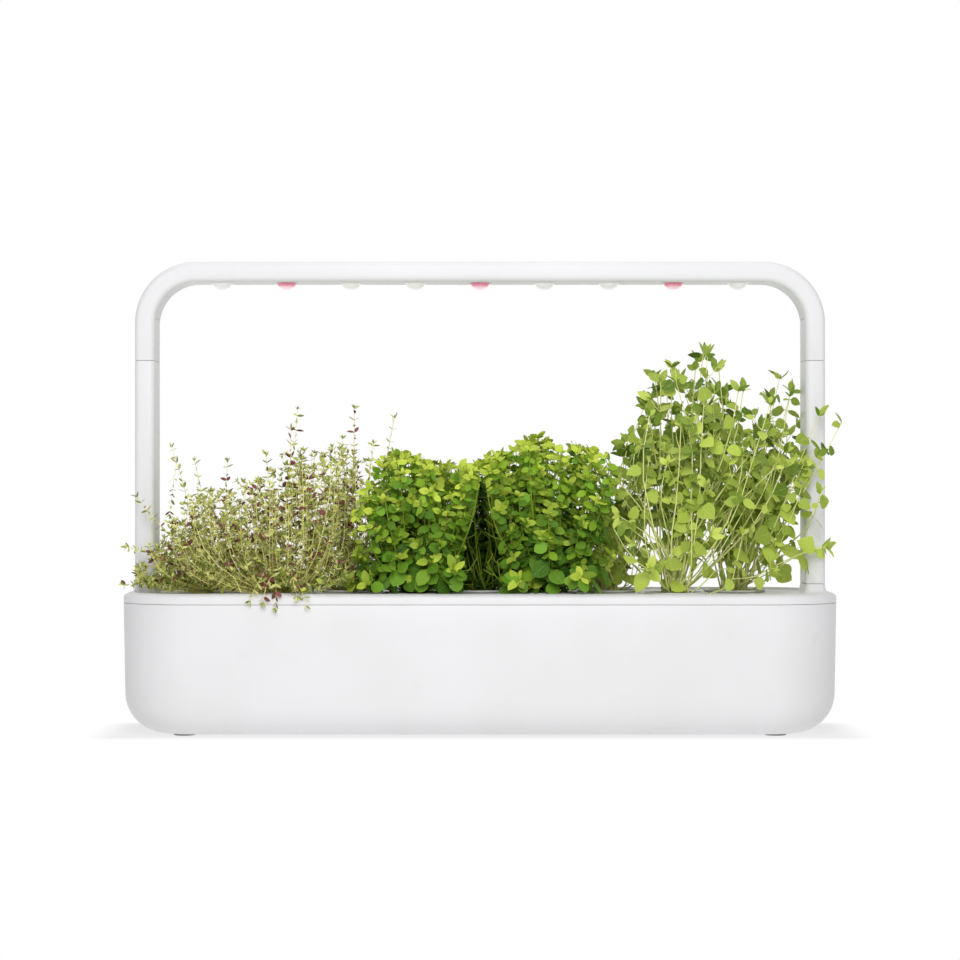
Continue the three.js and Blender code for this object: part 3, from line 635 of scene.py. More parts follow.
# %% Lamp arch
BEND_X, BEND_Z, BEND_STEPS = 240.5, 347.2, 28
COVER_START, COVER_HALF_DEPTH, COVER_THICKNESS, COVER_SINK = 7, 16.8, 2, 0.1
SEAT_START, SEAT_HALF_DEPTH, SEAT_THICKNESS, SEAT_SINK = 6.5, COVER_HALF_DEPTH + 0.3, 5.3, -3


def extruded(shape, face, move):
    end = first_face(bmesh.ops.extrude_face_region(shape, geom=[face])["geom"])
    bmesh.ops.translate(shape, vec=Vector(move) * MM, verts=end.verts)
    return end


def bent(shape, face, centre_x, degrees):
    """Sweeps a face round one bend of the arch, from right to left."""
    return first_face(bmesh.ops.spin(shape, geom=[face], cent=Vector((centre_x, 0, BEND_Z)) * MM, axis=(0, -1, 0),
                                     angle=math.radians(degrees), steps=BEND_STEPS)["geom_last"])


def inner_strip(start, half_depth, thickness, sink):
    """A strip along the arch's inner side. It starts some degrees up the bend and lies as deep as its sink."""
    middle = POST_X - POST_HALF - BEND_X + sink + thickness / 2
    strip = plate(thickness / 2, half_depth, 0.8, 4, (middle, 0, 0))
    bmesh.ops.rotate(strip, matrix=Matrix.Rotation(math.radians(-start), 3, "Y"), verts=strip.verts)
    moved(strip, (BEND_X, 0, BEND_Z))
    end = bent(strip, strip.faces[:][0], BEND_X, 90 - start)
    bent(strip, extruded(strip, end, (-2 * BEND_X, 0, 0)), -BEND_X, 90 - start)
    bmesh.ops.recalc_face_normals(strip, faces=strip.faces[:])
    return strip


section = plate(POST_HALF, POST_HALF_DEPTH, POST_CORNER, 8, (POST_X, 0, LAMP_BOTTOM + SEAM_ROUND))
leg_height = BEND_Z - LAMP_BOTTOM - SEAM_ROUND
start = section.faces[:][0]
end = bent(section, extruded(section, start, (0, 0, leg_height)), BEND_X, 90)
end = bent(section, extruded(section, end, (-2 * BEND_X, 0, 0)), -BEND_X, 90)
end = extruded(section, end, (0, 0, -leg_height))
bmesh.ops.recalc_face_normals(section, faces=section.faces[:])
for leg_end in (start, end):
    climb(section, leg_end, spigot_steps())
arch = placed("lamp_arch_bar", section)
channel = block(-238, 238, -15.6, 15.6, 383, 392.5)
cut(arch, [channel, *(plug_seat(x, LAMP_BOTTOM) for x in SIDES.values())])
cut(arch, [inner_strip(SEAT_START, SEAT_HALF_DEPTH, SEAT_THICKNESS, SEAT_SINK)])
dress(arch, "lamp", "lamp_plastic", lamp_white_plastic, "lamp_arch")
tell("arch", arch)

# %% [markdown]
# ## The cover of the lights
#
# A thin strip clips into the underside of the arch and follows its inner bends down to the legs. It lies in its
# seat, so that only a fine seam shows round it, and has a hole with a rounded mouth for each lens.

# %% Cover of the lights
LENS_PLACES = {n: (n - 5) * 55 for n in range(1, 10)}
MOUTH_PROFILE = [(0, 380), (9.4, 380), (9.0, 382.2), (8.5, 382.7), (8.4, 383.2), (8.4, 386), (0, 386)]

cover = placed("light_cover", inner_strip(COVER_START, COVER_HALF_DEPTH, COVER_THICKNESS, COVER_SINK))
cut(cover, [turned(MOUTH_PROFILE, 48, (x, 0, 0)) for x in LENS_PLACES.values()])
dress(cover, "lamp", "lamp_plastic", lamp_white_plastic, "led_cover")
tell("cover", cover)

# %% [markdown]
# ## The lenses
#
# Each light shines through a small moulded dome. Most of them are clear with a milky look, and every third one
# is pink. The colour is deepest in the thick rim and palest at the thin tip, so it follows the height. A faint
# painted glow in the same tint keeps every dome bright.

# %% Lenses
LENS_TIP, DOME_BASE, DOME_RADIUS, DOME_HEIGHT = 376.5, 382.2, 8, 5.7
LENS_SKIRT = [(8.7, 381.5), (9.3, 381.75), (9.3, 382.0), (8, 382.15), (8, 388.8), (9.2, 388.8), (9.2, 390.3),
              (0, 390.3)]


def lens_finish(name, tip, rim, milk, painted_glow):
    """A moulded lens, with a faint painted glow in its own tint that keeps it bright."""
    material, recipe = new_material(name)
    height = recipe.axes(recipe.place())[2]
    deep = height.ramp((LENS_TIP + 1.2) * MM, (LENS_TIP + 4.6) * MM)
    ripple = recipe.speckle(420, 2)
    tint = recipe.blend(deep, tip, rim)
    recipe.principled({
        "Base Color": recipe.blend(ripple.ramp(0.45, 0.7) * 0.3, tint, milk),
        "Roughness": ripple * 0.1 + 0.08,
        "IOR": 1.49,
        "Transmission Weight": 0.15,
        # painted glow: the lens gives off a little light in its own tint, which keeps it bright
        "Emission Color": tint,
        "Emission Strength": painted_glow,
        "Coat Weight": 0.4,
        "Coat Roughness": 0.06,
        "Normal": recipe.bump(ripple, 0.03 * MM),
    })
    return material


LENS_FINISHES = {
    "clear_lens": lens_finish("clear_lens", (250, 251, 249), (240, 241, 238), (252, 252, 250), 0.18),
    "pink_lens": lens_finish("pink_lens", (255, 222, 231), (198, 114, 140), (255, 232, 238), 0.36),
}
angles = [math.radians(7.5 * i) for i in range(1, 12)]
dome = [(DOME_RADIUS * math.sin(a), DOME_BASE - DOME_HEIGHT * math.cos(a)) for a in angles]
for n, x in LENS_PLACES.items():
    lens = placed(f"lens_dome_{n}", turned([(0, LENS_TIP), *dome, *LENS_SKIRT], 48, (x, 0, 0)))
    kind = "pink_lens" if n % 3 == 2 else "clear_lens"
    dress(lens, "lamp", kind, LENS_FINISHES[kind], f"lens_{n}")
print("lenses:", len(LENS_PLACES))

# %% [markdown]
# ## Circuit boards
#
# The light board and the timer board are hidden in use, but both show when the garden is taken apart. Each
# keeps the frame's own solid. A brick texture draws the copper tracks on the lacquer, because tracks follow a
# grid, and a cell texture draws the solder pads.

# %% Circuit boards
def circuit_board(name, lacquer, track, pad, cell):
    material, recipe = new_material(name)
    settings = {"offset": 0.5, "squash": 1.0}
    sockets = {"Vector": recipe.place(), "Scale": 1 / cell, "Mortar Size": 0.06, "Color1": (0, 0, 0, 1),
               "Color2": (0.25, 0.25, 0.25, 1), "Mortar": (1, 1, 1, 1)}
    lines = recipe.node("TexBrick", settings, sockets)
    spots = recipe.node("TexVoronoi", sockets={"Vector": recipe.place(), "Scale": 2 / cell, "Randomness": 0.3})
    pads = 1 - spots.ramp(0.10, 0.16)
    grain = recipe.speckle(1200, 2)
    base = recipe.blend(grain * 0.25, lacquer, track)
    tracks = recipe.blend(lines.ramp(0.55, 0.85) * 0.6, base, track)
    recipe.principled({
        "Base Color": recipe.blend(pads, tracks, pad),
        "Roughness": 0.5 - pads * 0.25 + grain * 0.08,
        "Metallic": pads * 0.85,
        "Normal": recipe.bump(lines + pads, 0.04 * MM),
    })
    return material


BOARDS = {
    "led_board": circuit_board("white_board", (238, 238, 234), (214, 216, 214), (206, 204, 196), 6 * MM),
    "timer_board": circuit_board("green_board", (34, 92, 54), (58, 128, 72), (204, 196, 172), 2.4 * MM),
}
for node, material in BOARDS.items():
    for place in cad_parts[node].material_slots:
        place.material = material
print("boards carried over:", len(BOARDS))

# %% [markdown]
# ## Cups, growing medium and wicks
#
# A cup hangs in its hole by a flange. In it sits a pod of peaty growing medium, and a felt wick runs from the
# medium through the cup's floor down into the water. The medium is a spun form whose surface is pushed in by
# noise, so that it crumbles like peat. A displacement in the material alone would leave it smooth at its
# outline.

# %% Finishes of the growing medium and the wick
def fibrous(name, dark, light, crumb_scale, depth, fibre_scale):
    material, recipe = new_material(name)
    crumbs = recipe.node("TexVoronoi", sockets={"Vector": recipe.place(), "Scale": crumb_scale})
    fibres = recipe.speckle(fibre_scale, 4, roughness=0.7)
    mixed = crumbs * 0.5 + fibres
    recipe.principled({
        "Base Color": recipe.blend(mixed.ramp(0.4, 1.0), dark, light),
        "Roughness": fibres * 0.1 + 0.86,
        "Normal": recipe.bump(mixed, depth * MM),
    })
    return material


peat = fibrous("peat", (40, 28, 19), (92, 68, 46), 420, 0.8, 900)
felt = fibrous("felt", (206, 202, 190), (236, 233, 224), 1500, 0.2, 2600)
print("finishes:", peat.name, felt.name)

# %% Cups, pods and wicks
CUP_PROFILE = [
    (0, 76), (19.2, 76), (19.8, 76.3), (20, 77), (20.6, 84), (21.0, 84.3), (21.1, 85.2), (20.8, 85.6), (23.6, 118),
    (26.1, 118), (26.5, 118.3), (26.6, 118.8), (26.5, 119.3), (26.1, 119.6), (22.6, 119.6), (22.3, 119.3),
    (22.1, 118.6), (18.6, 77.7), (18.2, 77.4), (0, 77.4),
]
POD_BOTTOM, SOIL_TOP = 77.8, 117.6
POD_SIDE = [(18.1 + 3.6 * i / 10, POD_BOTTOM + 38.6 * i / 10) for i in range(11)]
POD_RINGS = [(radius, SOIL_TOP) for radius in (19.5, 17, 14.5, 12, 9.5, 7, 4.5, 2.2, 0)]
WICK_HALF_WIDTH, WICK_HALF_DEPTH, WICK_BOTTOM, WICK_TOP, WICK_STEP = 5, 1, 10, 82, 3


def roughened(shape, depth, scale, seed, where=lambda v: True):
    """Pushes the surface in by up to a depth, as noise says."""
    shape.normal_update()
    moves = [(v, v.normal * (depth * MM * (noise.noise(v.co * scale + Vector((seed, seed, 0))) - 1) / 2))
             for v in shape.verts if where(v)]
    for v, move in moves:
        v.co += move


for n, (x, y) in HOLE_PLACES.items():
    cup = placed(f"net_cup_{n}", turned(CUP_PROFILE, 64, (x, y, 0)))
    cut(cup, [block(x - 5.8, x + 5.8, y - 1.8, y + 1.8, 75, 79)])
    dress(cup, f"cup_{n}", "inner_plastic", cup_plastic, f"plant_cup_{n}")

    shape = turned([(0, POD_BOTTOM), *POD_SIDE, (21.2, SOIL_TOP - 0.3), *POD_RINGS], 48, (x, y, 0))
    roughened(shape, 1.8, 260, n, where=lambda v: v.co.z > 0.0785)
    dress(placed(f"peat_pod_{n}", shape), f"cup_{n}", "growing_medium", peat, f"soil_pod_{n}", sharp=60)

    strip = block(x - WICK_HALF_WIDTH, x + WICK_HALF_WIDTH, y - WICK_HALF_DEPTH, y + WICK_HALF_DEPTH, WICK_BOTTOM,
                  WICK_TOP)
    sliced(strip, [height * MM for height in range(WICK_BOTTOM + WICK_STEP, WICK_TOP, WICK_STEP)])
    soften(strip, 0.6, segments=3)
    roughened(strip, 0.3, 300, n)
    dress(placed(f"felt_wick_{n}", strip), f"cup_{n}", "growing_medium", felt, sharp=60)
print("cups, pods and wicks:", len(HOLE_PLACES))

# %% [markdown]
# ## Inlet, float, guide and tray
#
# The small parts of the deck are spun or stepped too: the socket for the power supply in the back, the float
# that shows the water level through the deck, the tube that guides it, and the tray that keeps the timer dry.

# %% Inlet, float, guide and tray
INLET_PROFILE = [
    (0, 1.5), (0.7, 1.5), (1, 1.9), (1, 9.5), (3.2, 9.5), (3.2, 0.5), (3.6, 0), (5.2, 0), (5.5, 0.3), (5.5, 12.2),
    (5.2, 12.5), (0, 12.5),
]
FLOAT_PROFILE = [
    (0, 15.8), (9.4, 15.8), (10, 16.1), (10.2, 16.8), (10.2, 48.8), (10, 49.5), (9.4, 49.8), (3, 49.8), (2.5, 50.3),
    (2.5, 85.2), (2.9, 85.7), (5.5, 85.7), (5.9, 86), (6, 86.5), (6, 88.9), (5.8, 89.4), (5.3, 89.7), (3.2, 89.7),
    (2.9, 89.4), (0, 89.4),
]
GUIDE_PROFILE = [
    (6.9, 14.2), (7.1, 14), (12.1, 14), (12.4, 14.3), (12.4, 114.9), (10.9, 114.9), (10.9, 15.5), (6.9, 15.5),
]

tray = plate(38, 15, 2.2, 6, (-110, 70.55, 102.4))
below, above = slab(tray, 12.5)
climb(tray, below, quarter_round(0.5, -0.5, 3))
climb(tray, above, [(1.5, 0), (0, -11.5)])
small_parts = [
    ("power_socket", facing_back(turned(INLET_PROFILE)), "deck", "dark_plastic", charcoal_plastic, "power_inlet"),
    ("level_float", turned(FLOAT_PROFILE, 48, (0, FLOAT_Y, 0)), "float", "float_plastic", float_foam, "water_float"),
    ("guide_tube", turned(GUIDE_PROFILE, 64, (0, FLOAT_Y, 0)), "deck", "inner_plastic", cup_plastic, "float_guide"),
    ("timer_tray", tray, "deck", "inner_plastic", cup_plastic, "board_tray"),
]
for name, shape, *rest in small_parts:
    dress(placed(name, shape), *rest)
print("small parts:", len(small_parts))

# %% [markdown]
# ## Leaves and stems
#
# Nine herbs hold many thousands of leaves, so a leaf is modelled once and copied. It starts as a small grid,
# whose rows are narrowed to the leaf's outline. A copy of the grid, a hair lower and turned over, is merged
# with it along the edge and closes the leaf. A fold along the midrib, a curl to the tip and a cupped blade
# come from moving the rows and columns. A stem is a thin rod in slices, which bends along any path.
#
# Every copy also says which cell of a colour chart it is painted from, through its own UV map. The chart has
# eight columns from dark to light, and four rows: three kinds of leaf, and the stems. Copies that share a cell
# look the same, so the leaves stay varied without a texture for each.

# %% Templates for a leaf and a stem
CHART_COLUMNS, CHART_ROWS, STEM_ROW = 8, 4, 3
CELL_MARGIN = 0.08
LEAF_THICKNESS = 0.02
STEM_SLICES, STEM_SIDES = 6, 4


def arrays_of(shape, chart):
    """A shape's points, its triangles, and the chart position of each triangle's corners, as arrays."""
    bmesh.ops.triangulate(shape, faces=shape.faces[:])
    shape.verts.index_update()
    points = np.array([v.co for v in shape.verts])
    faces = np.array([[v.index for v in face.verts] for face in shape.faces])
    spots = np.array([[loop[chart].uv for loop in face.loops] for face in shape.faces])
    shape.free()
    return points, faces, spots


def leaf_template(outline, fold, cupping, curl):
    """A leaf of length 1 along +Y, facing up. The outline lists (how far along, half width)."""
    shape = bmesh.new()
    rows = len(outline) - 1
    bmesh.ops.create_grid(shape, x_segments=2, y_segments=rows, size=0.5)
    chart = shape.loops.layers.uv.new("chart")
    for face in shape.faces:
        for loop in face.loops:
            loop[chart].uv = loop.vert.co.xy + Vector((0.5, 0.5))
    inner = {v for v in shape.verts if not v.is_boundary}
    lower = bmesh.ops.duplicate(shape, geom=shape.verts[:] + shape.edges[:] + shape.faces[:])
    bmesh.ops.reverse_faces(shape, faces=[item for item in lower["geom"] if isinstance(item, bmesh.types.BMFace)])
    bmesh.ops.translate(shape, vec=(0, 0, -LEAF_THICKNESS), verts=[lower["vert_map"][v] for v in inner])
    for v in shape.verts:
        along, half_width = outline[round((v.co.y + 0.5) * rows)]
        across = v.co.x * 2 * half_width
        lift = fold * abs(across) - cupping * across ** 2 - curl * along ** 2
        v.co = Vector((across, along, v.co.z + lift))
    bmesh.ops.remove_doubles(shape, verts=shape.verts[:], dist=1e-5)
    return arrays_of(shape, chart)


def rod_template():
    """A rod of radius 1 and length 1 that stands on the origin."""
    shape = bmesh.new()
    bmesh.ops.create_cone(shape, cap_ends=True, segments=STEM_SIDES, radius1=1, radius2=1, depth=1)
    bmesh.ops.translate(shape, vec=(0, 0, 0.5), verts=shape.verts)
    sliced(shape, [i / STEM_SLICES for i in range(1, STEM_SLICES)])
    chart = shape.loops.layers.uv.new("chart")
    for face in shape.faces:
        for loop in face.loops:
            loop[chart].uv = (0.5 + 0.4 * loop.vert.co.x, loop.vert.co.z)
    return arrays_of(shape, chart)


# %% A stem and the leaves of each herb
rod = rod_template()
LEAVES = {
    "thyme": [
        leaf_template([(0, 0.05), (0.3, 0.17), (0.65, 0.15), (1, 0)], 0.25, 0.8, 0.15),
        leaf_template([(0, 0.04), (0.25, 0.25), (0.6, 0.28), (0.88, 0.13), (1, 0)], 0.2, 0.7, 0.2),
        leaf_template([(0, 0.04), (0.18, 0.05), (0.34, 0.34), (0.62, 0.38), (0.88, 0.2), (1, 0)], 0.15, 0.5, 0.25),
    ],
    "basil": [
        leaf_template([(0, 0.03), (0.12, 0.04), (0.25, 0.29), (0.44, 0.39), (0.66, 0.37), (0.87, 0.23), (1, 0)],
                      0.1, 0.45, 0.18),
        leaf_template([(0, 0.03), (0.12, 0.05), (0.3, 0.28), (0.55, 0.34), (0.82, 0.24), (1, 0)], 0.16, 0.6, 0.24),
        leaf_template([(0, 0.06), (0.25, 0.26), (0.55, 0.31), (0.83, 0.19), (1, 0)], 0.3, 0.7, 0.2),
    ],
    "oregano": [
        leaf_template([(0, 0.02), (0.16, 0.03), (0.24, 0.34), (0.42, 0.42), (0.64, 0.35), (0.86, 0.18), (1, 0)],
                      0.16, 0.4, 0.16),
        leaf_template([(0, 0.02), (0.12, 0.03), (0.28, 0.29), (0.52, 0.35), (0.8, 0.22), (1, 0)], 0.2, 0.45, 0.2),
        leaf_template([(0, 0.04), (0.28, 0.24), (0.6, 0.26), (0.86, 0.13), (1, 0)], 0.3, 0.6, 0.2),
    ],
}
print("triangles a leaf:", {herb: [len(kind[1]) for kind in kinds] for herb, kinds in LEAVES.items()},
      "a stem:", len(rod[1]))

# %% [markdown]
# ## How a herb grows
#
# All three herbs follow one plan. Stems leave the pod, run outwards and turn up to the light. Leaves sit on
# them in pairs, each pair turned a quarter against the last, and shoots with smaller leaves grow from the
# joints. What tells the herbs apart are numbers: how many stems, how far apart the pairs are, and how large
# the leaves. A crown line says how tall the herb is at each place along the garden, and a few leaders stand
# out above it.
#
# The herbs are pulled out with their cups, so each keeps to the part of the deck that is nearer to its own
# cup than to any other.

# %% Where a herb may grow
ARM_ROOM_X, ARM_ROOM_Y = 275, 27
CLEAR_OF_DISH, CLEAR_OF_RIM, DISH_EDGE, OUTSIDE_DECK = DISH + 2.6, DECK_TOP + 1.6, 12, -1.5
SLANT = Vector((0.3, 0.2, 1))


def direction(v, fallback=(0, 0, 1)):
    return v.normalized() if v.length > 1e-9 else Vector(fallback)


def sideways(heading):
    """Two directions that are square to a stem's heading and to each other."""
    side = direction(heading.cross(SLANT), (1, 0, 0))
    return side, heading.cross(side)


def inside_deck(x, y):
    """How far inside the deck's outline a place is. Outside it is below zero."""
    corner_x = BASE_HALF_LENGTH - BASE_CORNER
    corner_y = BASE_HALF_DEPTH - BASE_CORNER
    return BASE_CORNER - math.hypot(max(abs(x) - corner_x, 0), max(abs(y) - corner_y, 0))


def over_deck(point):
    """Whether a point is clear of the deck: above its dish and its rim, or outside of it."""
    depth = inside_deck(point.x, point.y)
    return depth < OUTSIDE_DECK or point.z > (CLEAR_OF_DISH if depth > DISH_EDGE else CLEAR_OF_RIM)


def curve(start, pull, end, wave):
    """Points along a bend from a start to an end, pulled towards a third point, with a slight wave."""
    points = []
    for i in range(STEM_SLICES + 1):
        t = i / STEM_SLICES
        point = start * (1 - t) ** 2 + pull * (2 * t * (1 - t)) + end * t ** 2
        points.append(point + wave * math.sin(t * 1.5 * math.pi) * min(1, 2 * (1 - t)))
    return points


def along_path(points, t):
    """The place and the heading at a share of a path."""
    whole = min(int(t * STEM_SLICES), STEM_SLICES - 1)
    part = t * STEM_SLICES - whole
    return points[whole].lerp(points[whole + 1], part), direction(points[whole + 1] - points[whole])


# %% The room of one herb
SPREAD_X, SPREAD_Y = 0.7549, 0.5698  # steps that fill a square evenly
SPREAD_WIDTH, EDGE_ROOM = 180, 4


class Room:
    """The part of the deck that one plant may fill, with its habit and its own source of chance."""

    def __init__(self, number, habit, seed):
        self.number = number
        self.habit = habit
        self.chance = np.random.RandomState(seed)
        self.root = Vector((*HOLE_PLACES[number], SOIL_TOP))

    def between(self, low, high):
        return low + (high - low) * self.chance.random_sample()

    def loose(self, size):
        return Vector([self.between(-size, size) for _ in range(3)])

    def keeps_in(self, x, y, slack=0):
        """Whether a place is nearer to this plant's cup than to any other, and clear of the arms."""
        own = math.hypot(x - self.root.x, y - self.root.y)
        others = (math.hypot(x - a, y - b) for n, (a, b) in HOLE_PLACES.items() if n != self.number)
        beside_arm = abs(x) > ARM_ROOM_X and abs(y) < ARM_ROOM_Y
        return own < min(others) + slack and not beside_arm

    def in_parting(self, point):
        """Whether a place is in line with the gap between two bushes, which closes towards its top."""
        middle, half_width, top = self.habit.parting
        return abs(point.x - middle) < half_width * (1 - ((point.z - DISH) / top) ** 2)

    def top_at(self, x):
        return float(np.interp(x, *zip(*self.habit.crown)))

    def height_share(self, point, full):
        """How far up a point is, as a share of so much of the crown's height there."""
        return min(1, max(0, (point.z - DISH) / (full * self.top_at(point.x))))

    def spread(self, count):
        """Places for the tips of stems, evenly all over the plant's room."""
        start = self.chance.random_sample()
        found = []
        step = 0
        while len(found) < count:
            step += 1
            x = self.root.x + ((start + step * SPREAD_X) % 1 - 0.5) * SPREAD_WIDTH
            y = ((start + step * SPREAD_Y) % 1 - 0.5) * 2 * BASE_HALF_DEPTH
            if self.keeps_in(x, y) and inside_deck(x, y) > EDGE_ROOM:
                found.append((x, y))
        return found


# %% Growing a herb
LEAF_SLACK, OVERHANG, PARTING_FRONT = 3, -8, 12
LEADER_LAYER, LEADER_BARE = 1, 0.35


class Herb(Room):
    """The stems and leaves of one plant, kept as lists until they become one mesh."""

    def __init__(self, number, habit, seed):
        super().__init__(number, habit, seed)
        self.stems = []
        self.leaves = []

    def leaf(self, base, heading, face, length, tone, kind):
        """Adds a leaf, unless it would leave the plant's room, go into the deck or stand in front of a parting.
        Behind a parting the leaf gets the darkest tone, as painted shade.
        """
        tip = base + heading * length
        middle = base.lerp(tip, 0.6)
        in_room = self.keeps_in(middle.x, middle.y, LEAF_SLACK) and inside_deck(tip.x, tip.y) > OVERHANG
        # leaves in the gap behind a parting are painted in the darkest tone, as painted shade
        in_painted_shade = self.in_parting(middle)
        if in_room and over_deck(base) and over_deck(tip) and not (in_painted_shade and middle.y < PARTING_FRONT):
            self.leaves.append((base, heading, face, length, 0 if in_painted_shade else tone, kind))

    def pair(self, base, heading, turn, length, tone, kind, droop, opening):
        """A pair of opposite leaves at a joint of a stem."""
        side, other = sideways(heading)
        outside = Vector((base.x - self.root.x, base.y - self.root.y, 0))
        outside /= max(outside.length, 20)
        out, up = self.habit.facing
        mixed = self.habit.mixed
        for half in (0, math.pi):
            angle = turn + half + self.between(-0.35, 0.35)
            outwards = side * math.cos(angle) + other * math.sin(angle)
            open_angle = math.radians(self.between(*opening))
            aim = direction(outwards * math.sin(open_angle) + heading * math.cos(open_angle) - Vector((0, 0, droop)))
            light = heading * 0.3 + outside * out + Vector((0, 0, up)) + self.loose(self.habit.looseness)
            face = direction(light - aim * light.dot(aim))
            self.leaf(base, aim, face, length * self.between(0.7, 1.2), tone + self.between(-mixed, mixed), kind)

    def leafy(self, points, first, gap, sizes, layer, shoots):
        """Leaves along a stem from a share of its length on, and shoots at some of its joints."""
        run = sum((b - a).length for a, b in zip(points, points[1:]))
        low, high = layer.tone
        droop = self.habit.droop
        t, turn = first, self.between(0, math.pi)
        while t < 1:
            base, heading = along_path(points, t)
            # painted light and shade: the tone follows the leaf's height, from the layer's tone at the foot to the
            # one at the top
            tone = low + (high - low) * self.height_share(base, 0.95)
            kind = int(self.chance.choice(3, p=layer.kinds))
            length = float(np.interp(t, [0, 0.55, 1], sizes))
            self.pair(base, heading, turn, length, tone, kind, droop, self.habit.opening)
            if self.chance.random_sample() < shoots:
                self.shoot(base, heading, turn + math.pi / 2, t, layer)
            turn += math.pi / 2
            t += gap * self.between(0.75, 1.25) / run
        base, heading = points[-1], direction(points[-1] - points[-2])
        # painted light and shade at the tip as well: the tone follows the height
        tone = low + (high - low) * self.height_share(base, 0.9) ** 2
        for i in range(self.habit.tip_pairs):
            self.pair(base, heading, turn + i * math.pi / 2, sizes[2] * (1 - 0.2 * i), tone + 0.5 * i,
                      self.habit.tip_kind, droop * 0.3, self.habit.tip_opening)

    def stem(self, points, thick, thin):
        self.stems.append((points, thick, thin, self.habit.stem_tone + self.between(-1.5, 1.5)))

    def shoot(self, base, heading, turn, t, layer):
        side, other = sideways(heading)
        outwards = side * math.cos(turn) + other * math.sin(turn)
        length = self.between(*self.habit.shoot_length) * (1.1 - 0.5 * t)
        end = base + direction(outwards * 0.8 + heading * 0.5 + Vector((0, 0, 0.4))) * length
        end.z = min(end.z, DISH + self.top_at(end.x) * 1.02)
        if not self.keeps_in(end.x, end.y) or not over_deck(end):
            return
        points = curve(base, base.lerp(end, 0.5) + outwards * length * 0.15, end, side * 0.4)
        radius = self.habit.stem_radius * 0.5
        self.stem(points, radius, radius * 0.6)
        low, middle, tip = layer.leaf
        self.leafy(points, 0.3, self.habit.gap * 0.8, (low * 0.7, middle * 0.72, tip), layer, 0)

    def main_stem(self, x, y, height, pull, bare, layer):
        foot = self.root + Vector((self.between(-11, 11), self.between(-11, 11), -2))
        points = curve(foot, pull, Vector((x, y, DISH + height)), self.loose(self.habit.wave))
        radius = self.habit.stem_radius * self.between(0.75, 1.2)
        self.stem(points, radius, radius * 0.5)
        self.leafy(points, bare, self.habit.gap, layer.leaf, layer, layer.shoots)

    def grow(self, leaders):
        lean = self.habit.lean
        for layer in self.habit.layers:
            for x, y in self.spread(layer.stems):
                height = max(9, self.top_at(x) * self.between(*layer.height))
                pull = Vector((self.root.x + (x - self.root.x) * lean, self.root.y + (y - self.root.y) * lean,
                               self.root.z + height * self.habit.rise)) + self.loose(self.habit.stray)
                pull.z = max(pull.z, DISH + 9)
                self.main_stem(x, y, height, pull, self.between(*layer.bare), layer)
        layer = self.habit.layers[LEADER_LAYER]._replace(shoots=self.habit.leader_shoots)
        for x, y, height in leaders:
            pull = Vector(((self.root.x + x) / 2, y, max(DISH + height * 0.45, DISH + 34)))
            self.main_stem(x, y, height, pull, LEADER_BARE, layer)


# %% One mesh from many copies
OFF_STEM = (0.31, 0.95, 0.02)  # a direction that no stem follows exactly


def chart_spots(spots, column, row):
    """Moves a template's chart positions into one cell of the chart."""
    inside = CELL_MARGIN + spots * (1 - 2 * CELL_MARGIN)
    across, along = np.broadcast_arrays(inside[..., 0] + column, inside[..., 1] + row)
    return np.stack([across / CHART_COLUMNS, along / CHART_ROWS], axis=-1)


def bent_rod(points, thick, thin, tone):
    """The rod's template, laid along a stem's path."""
    shape_points, shape_faces, shape_spots = rod
    slices = np.round(shape_points[:, 2] * STEM_SLICES).astype(int)
    path = np.array(points) * MM
    heading = np.gradient(path, axis=0)
    heading /= np.linalg.norm(heading, axis=1)[:, None]
    side = np.cross(heading, OFF_STEM)
    side /= np.linalg.norm(side, axis=1)[:, None]
    other = np.cross(heading, side)
    radius = (thick + (thin - thick) * shape_points[:, 2:]) * MM
    rounded = side[slices] * shape_points[:, :1] * radius + other[slices] * shape_points[:, 1:2] * radius
    column = np.clip(round(tone), 0, CHART_COLUMNS - 1)
    return path[slices] + rounded, shape_faces, chart_spots(shape_spots, column, STEM_ROW)


def leaf_copies(leaves, kind, template, chance):
    """All leaves of one kind, as copies of its template that are placed at once."""
    shape_points, shape_faces, shape_spots = template
    base, heading, face, length, tone = (np.array(column) for column in zip(*leaves))
    base, length = base * MM, length[:, None, None] * MM
    across = np.cross(heading, face)
    width = length * (0.85 + 0.3 * chance.random_sample(length.shape))
    copies = (base[:, None] + across[:, None] * shape_points[None, :, :1] * width
              + heading[:, None] * shape_points[None, :, 1:2] * length
              + face[:, None] * shape_points[None, :, 2:] * length)
    columns = np.clip(np.round(tone), 0, CHART_COLUMNS - 1)
    spots = chart_spots(shape_spots[None], columns[:, None, None], kind)
    faces = shape_faces[None] + np.arange(len(leaves))[:, None, None] * len(shape_points)
    return copies.reshape(-1, 3), faces.reshape(-1, 3), spots.reshape(-1, 3, 2)


def joined_mesh(name, parts):
    """One mesh from parts of (points, triangles, chart positions)."""
    starts = np.cumsum([0] + [len(points) for points, _, _ in parts[:-1]])
    points = np.concatenate([points for points, _, _ in parts])
    faces = np.concatenate([faces + start for (_, faces, _), start in zip(parts, starts)])
    spots = np.concatenate([spots for _, _, spots in parts])
    mesh = bpy.data.meshes.new(name)
    mesh.from_pydata(points.tolist(), [], faces.tolist())
    mesh.uv_layers.new(name="OFBake").data.foreach_set("uv", spots.astype(np.float32).ravel())
    return mesh


def plant_mesh(name, plant, templates):
    parts = [bent_rod(*stem) for stem in plant.stems]
    for kind, template in enumerate(templates):
        leaves = [leaf[:5] for leaf in plant.leaves if leaf[5] == kind]
        if leaves:
            parts.append(leaf_copies(leaves, kind, template, plant.chance))
    return joined_mesh(name, parts)


# %% [markdown]
# ## Leaf finishes
#
# The finish of a leaf is read from its cell of the chart. The column says how light it is and the row which
# kind. The place inside the cell is the place on the leaf: its middle is the midrib, and slanting lines from it
# are the side veins, which are paler and a little sunken.

